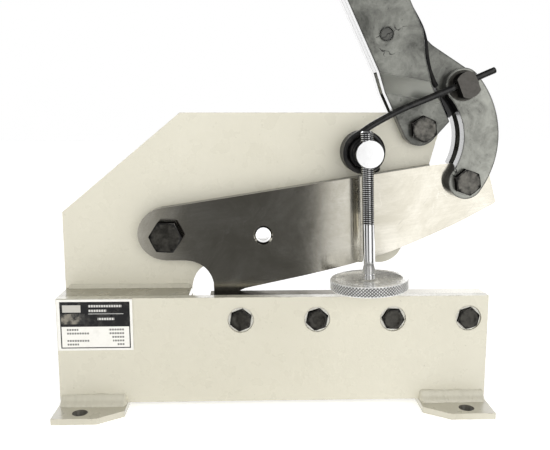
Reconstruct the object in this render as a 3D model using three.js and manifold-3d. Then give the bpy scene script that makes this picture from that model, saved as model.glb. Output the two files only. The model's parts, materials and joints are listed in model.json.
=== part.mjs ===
// Hand-lever sheet-metal bench shear. Millimetres, +Z up, +X to the right, +Y away from the operator.
// Heights count from the bed's top and depths from the bed plate's front face; the whole is then
// moved so that the origin is the bottom centre of the bounding box.
import * as THREE from 'three';
import { mergeVertices } from 'three/addons/utils/BufferGeometryUtils.js';
import Module from 'manifold-3d';

const wasm = await Module();
wasm.setup();

// ---- Driving dimensions ---------------------------------------------------------------------
const GAP = 0.3;                      // assembly gap between touching pieces
const CURVE = 10;                     // segments in half a round outline
const ROUND = 24;                     // sides of a turned piece

const BED = { left: -175, right: 175, height: 88, thick: 8 };
const LOWER_BLADE = { left: -52, right: 174, height: 46, front: 8.3, back: 22.1 };
const UPPER_BLADE = { front: 22.4, back: 34.4 };
const BLADE_EDGE = [
  [-49, -10], [-23.6, 1.9], [30.8, 13.6], [74.2, 24.6], [107.5, 36.2], [150.1, 55], [184.6, 73.5],
];
const BLADE_BACK = { tip: [176, 104.6], bend: [150, 107.4], shoulder: [128.1, 104], start: [-91.5, 69.6] };
const BLADE_END = { x: -88, z: 48, wide: 23.8, high: 22, from: THREE.MathUtils.degToRad(99) };
const BLADE_NECK = { start: [-72, 25.9], bend: [-54, 24], heel: [-49.8, 7.4] };
const FRAME = { front: 36, back: 46, left: -176, armTop: -15 };
const FRAME_CORNERS = {
  rightLow: [131, 103], rightTop: [142.5, 147], leftTop: [-76.5, 147], shoulder: [-176, 65],
};
const FRAME_THROAT = {
  x: -58, z: -4, radius: 11, lip: [-68, 19], edge: -50, height: 20.5, noseX: 91, noseRadius: 20,
};
const FRAME_NOSE_END = THREE.MathUtils.degToRad(-17);
const FOOT = {
  thick: 5, reach: 29.5, width: 55, toe: 35.5, toeSide: 16, hole: 6, holeIn: 20.3, holeReach: 18.7,
};
const WEB = { right: -69, thick: 8 };
const LABEL = { width: 60.7, height: 42.5, thick: 0.6, inset: 0.5 };

const PIVOT = { x: -87.7, z: 46.9, radius: 8, bush: 10.3, flats: 24, head: 10, nut: 13, lockNut: 8, end: 71 };
const PIVOT_WASHER = { front: 11.5, rear: 15, thick: 1.5, rearThick: 2 };
const BAR_HOLE = { x: -8.2, z: 46.7, radius: 6.3, dieRadius: 11, chamfer: 1.6 };
const BED_BOLTS = {
  x: -27, z: -19, pitch: 62, count: 4, radius: 5, flats: 16, head: 6.4, pocket: 10.5, depth: 4.6,
};
const BED_BOLT_TURNS = [0.14, 0.21, 0.576, 0.227];

const LEVER_PIVOT = { x: 121.5, z: 133.7, radius: 6, bush: 8.5 };
const LEVER_LEAN = THREE.MathUtils.degToRad(25.4);
const CHEEK = {
  left: -15.8, right: 28.6, waist: 22.6, neck: 18.8, heel: 14.5, top: 165, thick: 11, joggle: 12.3,
};
const CREASE = { n: 18.8, u: 32.1, slope: THREE.MathUtils.degToRad(-35.7), run: 14 };
const FRONT_CHEEK_Y = 11.1;
const REAR_CHEEK_Y = 35;
const CORE = { front: 22.4, back: 34.7, top: 235, shoulder: 172, tongue: 24.5 };
const NOSE = {
  n: 40.4, u: 18.8, radius: 15, from: THREE.MathUtils.degToRad(-82), to: THREE.MathUtils.degToRad(40),
};
const RIVETS = { n: 1.4, first: 80.9, pitch: 60, radius: 5 };
const HANDLE = { n: 6.4, start: 172.5, end: 555, radius: 17, bore: 14, boltUp: 205 };
const GRIP = { start: 430, end: 561, radius: 20.5, flange: 24, flangeLength: 6 };

const LINK_TOP = { x: 150, z: 168 };
const LINK_BOTTOM = { x: 155.5, z: 91.7 };
const LINK = { width: 28, sagitta: 13.4, thick: 11, bolt: 6 };
const LINK_SLOT = { width: 25, height: 18, x: 0.2, z: -0.3 };
const M12 = { flats: 19, head: 7.5, nut: 10, washer: 12, smallWasher: 9.2, washerThick: 2, thinWasher: 1.5 };
const TURNS = {
  pivot: 0.576, lockNut: 0.3, lever: -0.087, leverNut: 0.4, link: -0.103, eyeNut: 0.2, studNut: 0.1,
};
const HANDLE_BOLT = { flats: 13, head: 5.5, radius: 4, nut: 7, past: 10 };
const BOLT_PAST_PLATE = 15;

const STUD = { x: 71.5, z: 115.8, radius: 10.5, front: -23, shank: 6, end: 62 };
const SCREW = { y: -11, radius: 5, top: 133, bottom: 18.2, lean: THREE.MathUtils.degToRad(-2) };
const DISK = { radius: 30.8, bottom: 9.5, top: 17.9, dish: 25.5, hub: 8, dishDepth: 2.6 };
const WIRE = { radius: 2.6, coil: 14.75, frontY: 4.5, pitch: 5.5, hookX: 86, sides: 8 };
const WIRE_ARM = [
  [172, 179.6], [164, 176.2], [150, 170.1], [134, 163.3], [117.6, 156.6],
  [103.6, 151], [94.3, 146.6], [84.9, 141.6], [75.6, 136.2], [69, 131.6],
];
const WIRE_TURNS = { armFrom: 130, armTo: 450, coilFrom: 110, coilTo: 630 };
const EYE = {
  radius: 10.1, flats: 14.4, front: -4.5, back: 9.3, hole: 3.8, holeUp: 1.9, washer: 12.2, washerThick: 1.2,
};

// ---- Materials ------------------------------------------------------------------------------
const paint = () => new THREE.MeshStandardMaterial({ color: 0xe0dac8, roughness: 0.35, metalness: 0 });
const ground = () => new THREE.MeshStandardMaterial({ color: 0x9d988c, roughness: 0.4, metalness: 0.9 });
const black = () => new THREE.MeshStandardMaterial({ color: 0x3a3a36, roughness: 0.35, metalness: 0.5 });
const bolt = () => new THREE.MeshStandardMaterial({ color: 0x2e2d2a, roughness: 0.4, metalness: 0.7 });
const chrome = () => new THREE.MeshStandardMaterial({ color: 0xd8d9da, roughness: 0.12, metalness: 1 });
const rubber = () => new THREE.MeshStandardMaterial({ color: 0x1c1c1c, roughness: 0.8, metalness: 0 });
const print = () => new THREE.MeshStandardMaterial({ color: 0xd9d7d2, roughness: 0.5, metalness: 0 });

// ---- Helpers --------------------------------------------------------------------------------
function solid(geometry) {
  const bare = geometry.clone();
  bare.deleteAttribute('normal');
  bare.deleteAttribute('uv');
  const merged = mergeVertices(bare, 1e-4);
  const vertProperties = new Float32Array(merged.attributes.position.array);
  const triVerts = new Uint32Array(merged.index.array);
  return new wasm.Manifold(new wasm.Mesh({ numProp: 3, vertProperties, triVerts }));
}

function geometryOf(body) {
  const mesh = body.getMesh();
  const geometry = new THREE.BufferGeometry();
  geometry.setAttribute('position', new THREE.BufferAttribute(mesh.vertProperties, 3));
  geometry.setIndex(new THREE.BufferAttribute(mesh.triVerts, 1));
  return geometry;
}

function piece(parent, name, shape, material) {
  const geometry = shape.isBufferGeometry ? shape : geometryOf(shape);
  const mesh = new THREE.Mesh(geometry, material());
  mesh.name = name;
  parent.add(mesh);
  return mesh;
}

// A flat outline in X and Z, made into a plate between two depths.
function plate(outline, front, back, curve = CURVE) {
  const options = { depth: back - front, bevelEnabled: false, curveSegments: curve };
  return new THREE.ExtrudeGeometry(outline, options).rotateX(Math.PI / 2).translate(0, back, 0);
}

function disc(x, z, radius, front, back, sides = ROUND) {
  const length = back - front;
  return new THREE.CylinderGeometry(radius, radius, length, sides).translate(x, front + length / 2, z);
}

function hexagon(x, z, flats, front, back, turn = 0) {
  const length = back - front;
  const corner = flats / Math.sqrt(3);
  return new THREE.CylinderGeometry(corner, corner, length, 6)
    .rotateY(turn)
    .translate(x, front + length / 2, z);
}

function circlePath(x, z, radius) {
  return new THREE.Path().absarc(x, z, radius, 0, 2 * Math.PI, true);
}

function ring(x, z, inner, outer, front, back) {
  const outline = new THREE.Shape().absarc(x, z, outer, 0, 2 * Math.PI, false);
  outline.holes.push(circlePath(x, z, inner));
  return plate(outline, front, back, ROUND / 2);
}

// A hexagon bolt whose head begins at `front` and whose shank ends at `end`.
function hexBolt(x, z, { flats, head, radius }, front, end, turn = 0) {
  const shank = disc(x, z, radius, front + head / 2, end);
  return solid(hexagon(x, z, flats, front, front + head, turn)).add(solid(shank));
}

function hexNut(x, z, flats, bore, front, back, turn = 0) {
  const hole = disc(x, z, bore, front - 1, back + 1);
  return solid(hexagon(x, z, flats, front, back, turn)).subtract(solid(hole));
}

// A round bar along Z, turned from a profile of [radius, height] pairs.
function turned(profile, x, y, sides = ROUND) {
  const points = profile.map(([radius, height]) => new THREE.Vector2(radius, height));
  return new THREE.LatheGeometry(points, sides).rotateX(Math.PI / 2).translate(x, y, 0);
}

// ---- Bed, feet and frame --------------------------------------------------------------------
const boltSpots = Array.from({ length: BED_BOLTS.count }, (_, i) => BED_BOLTS.x + i * BED_BOLTS.pitch);

function bedPlate() {
  const outline = new THREE.Shape();
  outline.moveTo(BED.left, -BED.height);
  outline.lineTo(BED.right, -BED.height);
  outline.lineTo(BED.right, 0);
  outline.lineTo(BED.left, 0);
  for (const x of boltSpots) {
    outline.holes.push(circlePath(x, BED_BOLTS.z, BED_BOLTS.radius + GAP));
  }
  let body = solid(plate(outline, 0, BED.thick));
  for (const x of boltSpots) {
    const pocket = disc(x, BED_BOLTS.z, BED_BOLTS.pocket, -1, BED_BOLTS.depth);
    body = body.subtract(solid(pocket));
  }
  return body;
}

function foot(side) {
  const edge = BED.right;
  const middle = (FRAME.back) / 2;
  const half = middle + FOOT.reach;
  const inner = edge - FOOT.width;
  const toe = edge - FOOT.toe;
  const cheek = middle + FOOT.toeSide;
  const outline = new THREE.Shape();
  outline.moveTo(edge, -half);
  outline.lineTo(edge, half);
  outline.lineTo(toe, half);
  outline.lineTo(inner, cheek);
  outline.lineTo(inner, -cheek);
  outline.lineTo(toe, -half);
  for (const end of [-1, 1]) {
    outline.holes.push(circlePath(edge - FOOT.holeIn, end * (middle + FOOT.holeReach), FOOT.hole));
  }
  const geometry = new THREE.ExtrudeGeometry(outline, {
    depth: FOOT.thick, bevelEnabled: false, curveSegments: CURVE,
  });
  geometry.translate(0, middle, -BED.height - GAP - FOOT.thick);
  return side > 0 ? geometry : geometry.rotateZ(Math.PI).translate(0, 2 * middle, 0);
}

function framePlate() {
  const outline = new THREE.Shape();
  outline.moveTo(FRAME.left, -BED.height);
  outline.lineTo(BED.right, -BED.height);
  outline.lineTo(BED.right, FRAME.armTop);
  const { x, z, radius, lip, edge, height, noseX, noseRadius } = FRAME_THROAT;
  outline.lineTo(x, FRAME.armTop);
  outline.absarc(x, z, radius, -Math.PI / 2, -Math.PI, true);
  outline.quadraticCurveTo(...lip, edge, height);
  outline.lineTo(noseX, height);
  outline.absarc(noseX, height + noseRadius, noseRadius, -Math.PI / 2, FRAME_NOSE_END, false);
  outline.lineTo(...FRAME_CORNERS.rightLow);
  outline.lineTo(...FRAME_CORNERS.rightTop);
  outline.lineTo(...FRAME_CORNERS.leftTop);
  outline.lineTo(...FRAME_CORNERS.shoulder);
  outline.holes.push(circlePath(PIVOT.x, PIVOT.z, PIVOT.radius + GAP));
  outline.holes.push(circlePath(BAR_HOLE.x, BAR_HOLE.z, BAR_HOLE.dieRadius + GAP));
  outline.holes.push(circlePath(LEVER_PIVOT.x, LEVER_PIVOT.z, LEVER_PIVOT.bush + GAP));
  outline.holes.push(circlePath(STUD.x, STUD.z, STUD.shank + GAP));
  outline.holes.push(circlePath(WIRE.hookX, STUD.z - WIRE.coil, WIRE.radius + GAP));
  return plate(outline, FRAME.front, FRAME.back);
}

function webPlate() {
  const outline = new THREE.Shape();
  outline.moveTo(BED.left, -WEB.thick);
  outline.lineTo(WEB.right, -WEB.thick);
  outline.lineTo(WEB.right, 0);
  outline.lineTo(BED.left, 0);
  return plate(outline, BED.thick + GAP, FRAME.front - GAP);
}

function namePlate() {
  const outline = new THREE.Shape();
  const left = BED.left + LABEL.inset;
  const top = -LABEL.inset;
  outline.moveTo(left, top);
  outline.lineTo(left, top - LABEL.height);
  outline.lineTo(left + LABEL.width, top - LABEL.height);
  outline.lineTo(left + LABEL.width, top);
  return plate(outline, -GAP - LABEL.thick, -GAP);
}

function lowerBlade() {
  const outline = new THREE.Shape();
  outline.moveTo(LOWER_BLADE.left, -LOWER_BLADE.height);
  outline.lineTo(LOWER_BLADE.right, -LOWER_BLADE.height);
  outline.lineTo(LOWER_BLADE.right, 0);
  outline.lineTo(LOWER_BLADE.left, 0);
  for (const x of boltSpots) {
    outline.holes.push(circlePath(x, BED_BOLTS.z, BED_BOLTS.radius + GAP));
  }
  return plate(outline, LOWER_BLADE.front, LOWER_BLADE.back);
}

// ---- Moving blade ---------------------------------------------------------------------------
function slotPath(x, z, width, height) {
  const end = height / 2;
  const straight = (width - height) / 2;
  const path = new THREE.Path();
  path.moveTo(x - straight, z + end);
  path.lineTo(x + straight, z + end);
  path.absarc(x + straight, z, end, Math.PI / 2, -Math.PI / 2, true);
  path.lineTo(x - straight, z - end);
  path.absarc(x - straight, z, end, -Math.PI / 2, -3 * Math.PI / 2, true);
  return path;
}

function upperBlade() {
  const [heel, lip, ...edge] = BLADE_EDGE;
  const outline = new THREE.Shape();
  outline.moveTo(...heel);
  outline.lineTo(...lip);
  outline.splineThru(edge.map(([x, z]) => new THREE.Vector2(x, z)));
  outline.lineTo(...BLADE_BACK.tip);
  outline.quadraticCurveTo(...BLADE_BACK.bend, ...BLADE_BACK.shoulder);
  outline.lineTo(...BLADE_BACK.start);
  const { x, z, wide, high, from } = BLADE_END;
  outline.absellipse(x, z, wide, high, from, 1.5 * Math.PI, false);
  outline.lineTo(...BLADE_NECK.start);
  outline.quadraticCurveTo(...BLADE_NECK.bend, ...BLADE_NECK.heel);
  outline.holes.push(circlePath(PIVOT.x, PIVOT.z, PIVOT.bush + GAP));
  outline.holes.push(circlePath(BAR_HOLE.x, BAR_HOLE.z, BAR_HOLE.radius));
  const slot = { x: LINK_BOTTOM.x + LINK_SLOT.x, z: LINK_BOTTOM.z + LINK_SLOT.z };
  outline.holes.push(slotPath(slot.x, slot.z, LINK_SLOT.width, LINK_SLOT.height));
  const body = solid(plate(outline, UPPER_BLADE.front, UPPER_BLADE.back));
  const { radius, chamfer } = BAR_HOLE;
  const cone = new THREE.CylinderGeometry(radius - chamfer, radius + 2 * chamfer, 3 * chamfer, 2 * ROUND)
    .translate(BAR_HOLE.x, UPPER_BLADE.front + chamfer / 2, BAR_HOLE.z);
  return body.subtract(solid(cone));
}

// ---- Lever, drawn upright about its pivot -----------------------------------------------------
function cheekOutline() {
  const heel = { x: CHEEK.left + CHEEK.heel, z: 1.5 };
  const heelEnd = THREE.MathUtils.degToRad(-66);
  const corner = 10;
  const outline = new THREE.Shape();
  outline.moveTo(CHEEK.left, CHEEK.top - corner);
  outline.lineTo(CHEEK.left, heel.z);
  outline.absarc(heel.x, heel.z, CHEEK.heel, Math.PI, 2 * Math.PI + heelEnd, false);
  outline.lineTo(CHEEK.waist, -4.1);
  outline.lineTo(CHEEK.waist, 15);
  outline.quadraticCurveTo(CHEEK.neck, 24, CHEEK.neck, CREASE.u);
  outline.splineThru([
    new THREE.Vector2(22.2, 51.8),
    new THREE.Vector2(26, 62.6),
    new THREE.Vector2(CHEEK.right, 72),
  ]);
  outline.lineTo(CHEEK.right, CHEEK.top - corner);
  outline.absarc(CHEEK.right - corner, CHEEK.top - corner, corner, 0, Math.PI / 2, false);
  outline.absarc(CHEEK.left + corner, CHEEK.top - corner, corner, Math.PI / 2, Math.PI, false);
  outline.holes.push(circlePath(0, 0, LEVER_PIVOT.radius + GAP));
  for (const up of [RIVETS.first, RIVETS.first + RIVETS.pitch]) {
    outline.holes.push(circlePath(RIVETS.n, up, RIVETS.radius + GAP));
  }
  return outline;
}

// The cheek is a flat bar bent back over a short run below the crease, by one joggle.
function joggledCheek(front) {
  const wide = 440;
  const far = 260;
  const back = front + CHEEK.thick;
  const profile = new THREE.Shape();
  profile.moveTo(far, front);
  profile.lineTo(far, back);
  profile.lineTo(0, back);
  profile.lineTo(-CREASE.run, back + CHEEK.joggle);
  profile.lineTo(-far / 2, back + CHEEK.joggle);
  profile.lineTo(-far / 2, front + CHEEK.joggle);
  profile.lineTo(-CREASE.run, front + CHEEK.joggle);
  profile.lineTo(0, front);
  const sheet = new THREE.ExtrudeGeometry(profile, { depth: wide, bevelEnabled: false });
  sheet.translate(0, 0, -wide / 2);
  const across = new THREE.Vector3(Math.cos(CREASE.slope), 0, Math.sin(CREASE.slope));
  const up = new THREE.Vector3(-Math.sin(CREASE.slope), 0, Math.cos(CREASE.slope));
  const deep = new THREE.Vector3(0, 1, 0);
  const frame = new THREE.Matrix4().makeBasis(up, deep, across.clone().negate());
  sheet.applyMatrix4(frame.setPosition(CREASE.n, 0, CREASE.u));
  const blank = plate(cheekOutline(), front - 1, back + CHEEK.joggle + 1);
  return solid(blank).intersect(solid(sheet));
}

// The core fills the space between the cheeks above the crease and ends in the nose that the links hang on.
function leverCore() {
  const clear = 0.5;
  const side = CHEEK.waist + clear;
  const above = (n) => CREASE.u + Math.tan(CREASE.slope) * (n - CREASE.n) + clear / Math.cos(CREASE.slope);
  const half = CORE.tongue / 2;
  const outline = new THREE.Shape();
  outline.moveTo(CHEEK.left, above(CHEEK.left));
  outline.lineTo(side, above(side));
  outline.lineTo(side, -1);
  outline.quadraticCurveTo(32, 2, NOSE.n + 2, NOSE.u - NOSE.radius);
  outline.absarc(NOSE.n, NOSE.u, NOSE.radius, NOSE.from, NOSE.to, false);
  outline.lineTo(34.5, 56);
  outline.quadraticCurveTo(CHEEK.right + 2, 62, CHEEK.right, 78);
  outline.lineTo(CHEEK.right, CORE.shoulder - 12);
  outline.lineTo(HANDLE.n + HANDLE.radius, CORE.shoulder);
  outline.lineTo(HANDLE.n + half, CORE.shoulder);
  outline.lineTo(HANDLE.n + half, CORE.top);
  outline.lineTo(HANDLE.n - half, CORE.top);
  outline.lineTo(HANDLE.n - half, CORE.shoulder);
  outline.lineTo(HANDLE.n - HANDLE.radius, CORE.shoulder);
  outline.lineTo(CHEEK.left, CORE.shoulder - 12);
  for (const up of [RIVETS.first, RIVETS.first + RIVETS.pitch]) {
    outline.holes.push(circlePath(RIVETS.n, up, RIVETS.radius + GAP));
  }
  outline.holes.push(circlePath(NOSE.n, NOSE.u, LINK.bolt + GAP));
  outline.holes.push(circlePath(HANDLE.n, HANDLE.boltUp, HANDLE_BOLT.radius + GAP));
  return plate(outline, CORE.front, CORE.back);
}

const handleDepth = (CORE.front + CORE.back) / 2;

function handleTube() {
  const profile = [
    [HANDLE.bore, HANDLE.start], [HANDLE.radius, HANDLE.start], [HANDLE.radius, HANDLE.end],
    [HANDLE.bore, HANDLE.end], [HANDLE.bore, HANDLE.start],
  ];
  const hole = disc(HANDLE.n, HANDLE.boltUp, HANDLE_BOLT.radius + GAP, -CORE.back, 3 * CORE.back, CURVE);
  return solid(turned(profile, HANDLE.n, handleDepth)).subtract(solid(hole));
}

function gripSleeve() {
  const bore = HANDLE.radius + GAP;
  const flangeTop = GRIP.start + GRIP.flangeLength;
  const profile = [
    [0, HANDLE.end + GAP], [bore, HANDLE.end + GAP], [bore, GRIP.start], [GRIP.flange, GRIP.start],
    [GRIP.flange, flangeTop], [GRIP.radius, flangeTop + 3], [GRIP.radius, GRIP.end - 4],
    [GRIP.radius - 4, GRIP.end], [0, GRIP.end],
  ];
  return turned(profile, HANDLE.n, handleDepth);
}

// ---- Links ----------------------------------------------------------------------------------
// A round-ended bar of even width, bent to an arc; drawn hanging straight down from its top pivot.
function linkOutline() {
  const chord = Math.hypot(LINK_TOP.x - LINK_BOTTOM.x, LINK_TOP.z - LINK_BOTTOM.z);
  const half = chord / 2;
  const radius = (half * half + LINK.sagitta * LINK.sagitta) / (2 * LINK.sagitta);
  const centre = { x: LINK.sagitta - radius, z: -half };
  const angle = Math.asin(half / radius);
  const end = LINK.width / 2;
  const outline = new THREE.Shape();
  outline.absarc(centre.x, centre.z, radius + end, -angle, angle, false);
  outline.absarc(0, 0, end, angle, angle + Math.PI, false);
  outline.absarc(centre.x, centre.z, radius - end, angle, -angle, true);
  outline.absarc(0, -chord, end, Math.PI - angle, 2 * Math.PI - angle, false);
  outline.holes.push(circlePath(0, 0, LINK.bolt + GAP));
  outline.holes.push(circlePath(0, -chord, LINK.bolt + GAP));
  return outline;
}

// ---- Return spring --------------------------------------------------------------------------
// A round wire swept along a smooth curve through the points.
function wire(points, steps) {
  const path = new THREE.CatmullRomCurve3(points, false, 'centripetal');
  const section = new THREE.Shape();
  for (let i = 0; i < WIRE.sides; i += 1) {
    const angle = (2 * Math.PI * i) / WIRE.sides;
    const x = WIRE.radius * Math.cos(angle);
    const y = WIRE.radius * Math.sin(angle);
    if (i === 0) {
      section.moveTo(x, y);
    } else {
      section.lineTo(x, y);
    }
  }
  return new THREE.ExtrudeGeometry(section, { steps, bevelEnabled: false, extrudePath: path });
}

// Points of a coil round the stud, from one angle to another, while it moves back from y0 to y1.
function coilPoints(fromDeg, toDeg, y0, y1, count) {
  return Array.from({ length: count + 1 }, (_, i) => {
    const t = i / count;
    const angle = THREE.MathUtils.degToRad(fromDeg + t * (toDeg - fromDeg));
    const x = STUD.x + WIRE.coil * Math.cos(angle);
    const z = STUD.z + WIRE.coil * Math.sin(angle);
    return new THREE.Vector3(x, y0 + t * (y1 - y0), z);
  });
}

function springArm() {
  const y = WIRE.frontY;
  const arm = WIRE_ARM.map(([x, z]) => new THREE.Vector3(x, y, z));
  const turn = coilPoints(WIRE_TURNS.armFrom, WIRE_TURNS.armTo, y, y + WIRE.pitch, 20);
  return wire([...arm, ...turn], 64);
}

function springCoil() {
  const y = WIRE.frontY + 2 * WIRE.pitch;
  const share = (WIRE_TURNS.coilTo - WIRE_TURNS.coilFrom) / 360;
  const turn = coilPoints(WIRE_TURNS.coilFrom, WIRE_TURNS.coilTo, y, y + share * WIRE.pitch, 26);
  const z = STUD.z - WIRE.coil;
  const rear = turn[turn.length - 1].y;
  const leg = [
    new THREE.Vector3(WIRE.hookX - 5, rear + 0.4, z),
    new THREE.Vector3(WIRE.hookX - 0.6, rear + 3, z),
    new THREE.Vector3(WIRE.hookX, rear + 7, z),
    new THREE.Vector3(WIRE.hookX, FRAME.back - 2, z),
  ];
  return wire([...turn, ...leg], 56);
}

// ---- Hold-down ------------------------------------------------------------------------------
function holdDownStud() {
  const body = solid(disc(0, 0, STUD.radius, STUD.front, FRAME.front - GAP))
    .add(solid(disc(0, 0, STUD.shank, FRAME.front - 1, STUD.end)));
  const reach = 2 * STUD.radius;
  const bore = new THREE.CylinderGeometry(SCREW.radius + GAP, SCREW.radius + GAP, 2 * reach, ROUND);
  return body.subtract(solid(bore.rotateX(Math.PI / 2).translate(0, SCREW.y, 0)));
}

function holdDownScrew() {
  const top = SCREW.top - STUD.z;
  const bottom = SCREW.bottom - STUD.z;
  const profile = [
    [0, bottom], [SCREW.radius - 0.6, bottom], [SCREW.radius, bottom + 0.6],
    [SCREW.radius, top - 1], [SCREW.radius - 1, top], [0, top],
  ];
  return turned(profile, 0, SCREW.y);
}

function holdDownDisk() {
  const bottom = DISK.bottom - STUD.z;
  const top = DISK.top - STUD.z;
  const floor = top - DISK.dishDepth;
  const profile = [
    [0, bottom], [DISK.radius - 0.8, bottom], [DISK.radius, bottom + 0.8], [DISK.radius, top - 0.8],
    [DISK.radius - 0.8, top], [DISK.dish, top], [DISK.hub + 4, floor], [0, floor],
  ];
  return turned(profile, 0, SCREW.y, 48);
}

function eyeStud() {
  const half = EYE.flats / 2;
  const head = new THREE.Shape();
  const angle = Math.acos(half / EYE.radius);
  head.absarc(0, 0, EYE.radius, angle, Math.PI - angle, false);
  head.absarc(0, 0, EYE.radius, Math.PI + angle, 2 * Math.PI - angle, false);
  const hole = new THREE.CylinderGeometry(EYE.hole, EYE.hole, 4 * EYE.radius, ROUND / 2);
  return solid(plate(head, EYE.front, EYE.back))
    .add(solid(disc(0, 0, LINK.bolt, EYE.back - 1, REAR_CHEEK_Y + LINK.thick + BOLT_PAST_PLATE)))
    .subtract(solid(hole.rotateZ(Math.PI / 2).translate(0, WIRE.frontY, EYE.holeUp)));
}

// ---- Assembly -------------------------------------------------------------------------------
const shear = new THREE.Group();
const bed = new THREE.Group();
shear.add(bed);

function addFrame() {
  piece(bed, 'frame_plate', framePlate(), paint);
  piece(bed, 'front_plate', bedPlate(), paint);
  piece(bed, 'web_plate', webPlate(), paint);
  piece(bed, 'foot_left', foot(-1), paint);
  piece(bed, 'foot_right', foot(1), paint);
  piece(bed, 'name_plate', namePlate(), print);
  piece(bed, 'lower_blade', lowerBlade(), ground);
  boltSpots.forEach((x, i) => {
    const front = BED_BOLTS.depth - GAP - BED_BOLTS.head;
    const body = hexBolt(x, BED_BOLTS.z, BED_BOLTS, front, LOWER_BLADE.back - 1, BED_BOLT_TURNS[i]);
    piece(bed, `blade_bolt_${i + 1}`, body, bolt);
  });
  const die = ring(BAR_HOLE.x, BAR_HOLE.z, BAR_HOLE.radius, BAR_HOLE.dieRadius, FRAME.front, FRAME.back);
  piece(bed, 'round_bar_die', die, ground);
}

function addMainPivot() {
  const { x, z, radius, bush, flats } = PIVOT;
  const { front, rear, thick, rearThick } = PIVOT_WASHER;
  const faceY = UPPER_BLADE.front - GAP;
  const headY = faceY - thick - GAP - PIVOT.head;
  piece(bed, 'pivot_bolt', hexBolt(x, z, PIVOT, headY, PIVOT.end, TURNS.pivot), bolt);
  piece(bed, 'pivot_washer_front', ring(x, z, radius + GAP, front, faceY - thick, faceY), bolt);
  piece(bed, 'pivot_bush', ring(x, z, radius + GAP, bush, UPPER_BLADE.front, UPPER_BLADE.back), ground);
  const shimBack = FRAME.front - GAP;
  piece(bed, 'pivot_shim', ring(x, z, radius + GAP, rear, UPPER_BLADE.back + GAP, shimBack), ground);
  const rearY = FRAME.back + GAP;
  piece(bed, 'pivot_washer_rear', ring(x, z, radius + GAP, rear, rearY, rearY + rearThick), bolt);
  const nutY = rearY + rearThick + GAP;
  piece(bed, 'pivot_nut', hexNut(x, z, flats, radius + GAP, nutY, nutY + PIVOT.nut), bolt);
  const lockY = nutY + PIVOT.nut + GAP;
  const lock = hexNut(x, z, flats, radius + GAP, lockY, lockY + PIVOT.lockNut, TURNS.lockNut);
  piece(bed, 'pivot_locknut', lock, bolt);
}

function addLever() {
  const lever = new THREE.Group();
  lever.position.set(LEVER_PIVOT.x, 0, LEVER_PIVOT.z);
  lever.rotation.y = -LEVER_LEAN;
  bed.add(lever);
  piece(lever, 'lever_cheek_front', joggledCheek(FRONT_CHEEK_Y), black);
  piece(lever, 'lever_cheek_rear', joggledCheek(REAR_CHEEK_Y), black);
  piece(lever, 'lever_core', leverCore(), black);
  [RIVETS.first, RIVETS.first + RIVETS.pitch].forEach((up, i) => {
    const back = REAR_CHEEK_Y + CHEEK.thick;
    piece(lever, `lever_rivet_${i + 1}`, disc(RIVETS.n, up, RIVETS.radius, FRONT_CHEEK_Y, back), black);
  });
  piece(lever, 'handle_tube', handleTube(), black);
  piece(lever, 'handle_grip', gripSleeve(), rubber);
  const near = handleDepth - HANDLE.radius - GAP;
  const far = handleDepth + HANDLE.radius + GAP;
  const { flats, head, radius, past } = HANDLE_BOLT;
  piece(lever, 'handle_bolt', hexBolt(HANDLE.n, HANDLE.boltUp, HANDLE_BOLT, near - head, far + past), bolt);
  const nut = hexNut(HANDLE.n, HANDLE.boltUp, flats, radius + GAP, far, far + HANDLE_BOLT.nut);
  piece(lever, 'handle_nut', nut, bolt);
}

function addLeverPivot() {
  const { x, z, radius, bush } = LEVER_PIVOT;
  const { flats, head, nut, washer, smallWasher, thinWasher } = M12;
  const bore = radius + GAP;
  const lowerFront = FRONT_CHEEK_Y + CHEEK.joggle;
  const lowerBack = REAR_CHEEK_Y + CHEEK.joggle + CHEEK.thick;
  const headY = lowerFront - 2 * GAP - thinWasher - head;
  const shank = { flats, head, radius };
  piece(bed, 'lever_bolt', hexBolt(x, z, shank, headY, lowerBack + BOLT_PAST_PLATE, TURNS.lever), bolt);
  const faceY = lowerFront - GAP;
  piece(bed, 'lever_washer_front', ring(x, z, bore, smallWasher, faceY - thinWasher, faceY), bolt);
  piece(bed, 'lever_bush', ring(x, z, bore, bush, FRAME.front, FRAME.back), ground);
  const shimFront = lowerFront + CHEEK.thick + GAP;
  piece(bed, 'lever_shim_front', ring(x, z, bore, washer, shimFront, FRAME.front - GAP), ground);
  const shimBack = REAR_CHEEK_Y + CHEEK.joggle - GAP;
  piece(bed, 'lever_shim_rear', ring(x, z, bore, washer, FRAME.back + GAP, shimBack), ground);
  const rear = lowerBack + GAP;
  piece(bed, 'lever_washer_rear', ring(x, z, bore, washer, rear, rear + thinWasher), bolt);
  const nutY = rear + thinWasher + GAP;
  piece(bed, 'lever_nut', hexNut(x, z, flats, bore, nutY, nutY + nut, TURNS.leverNut), bolt);
}

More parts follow.
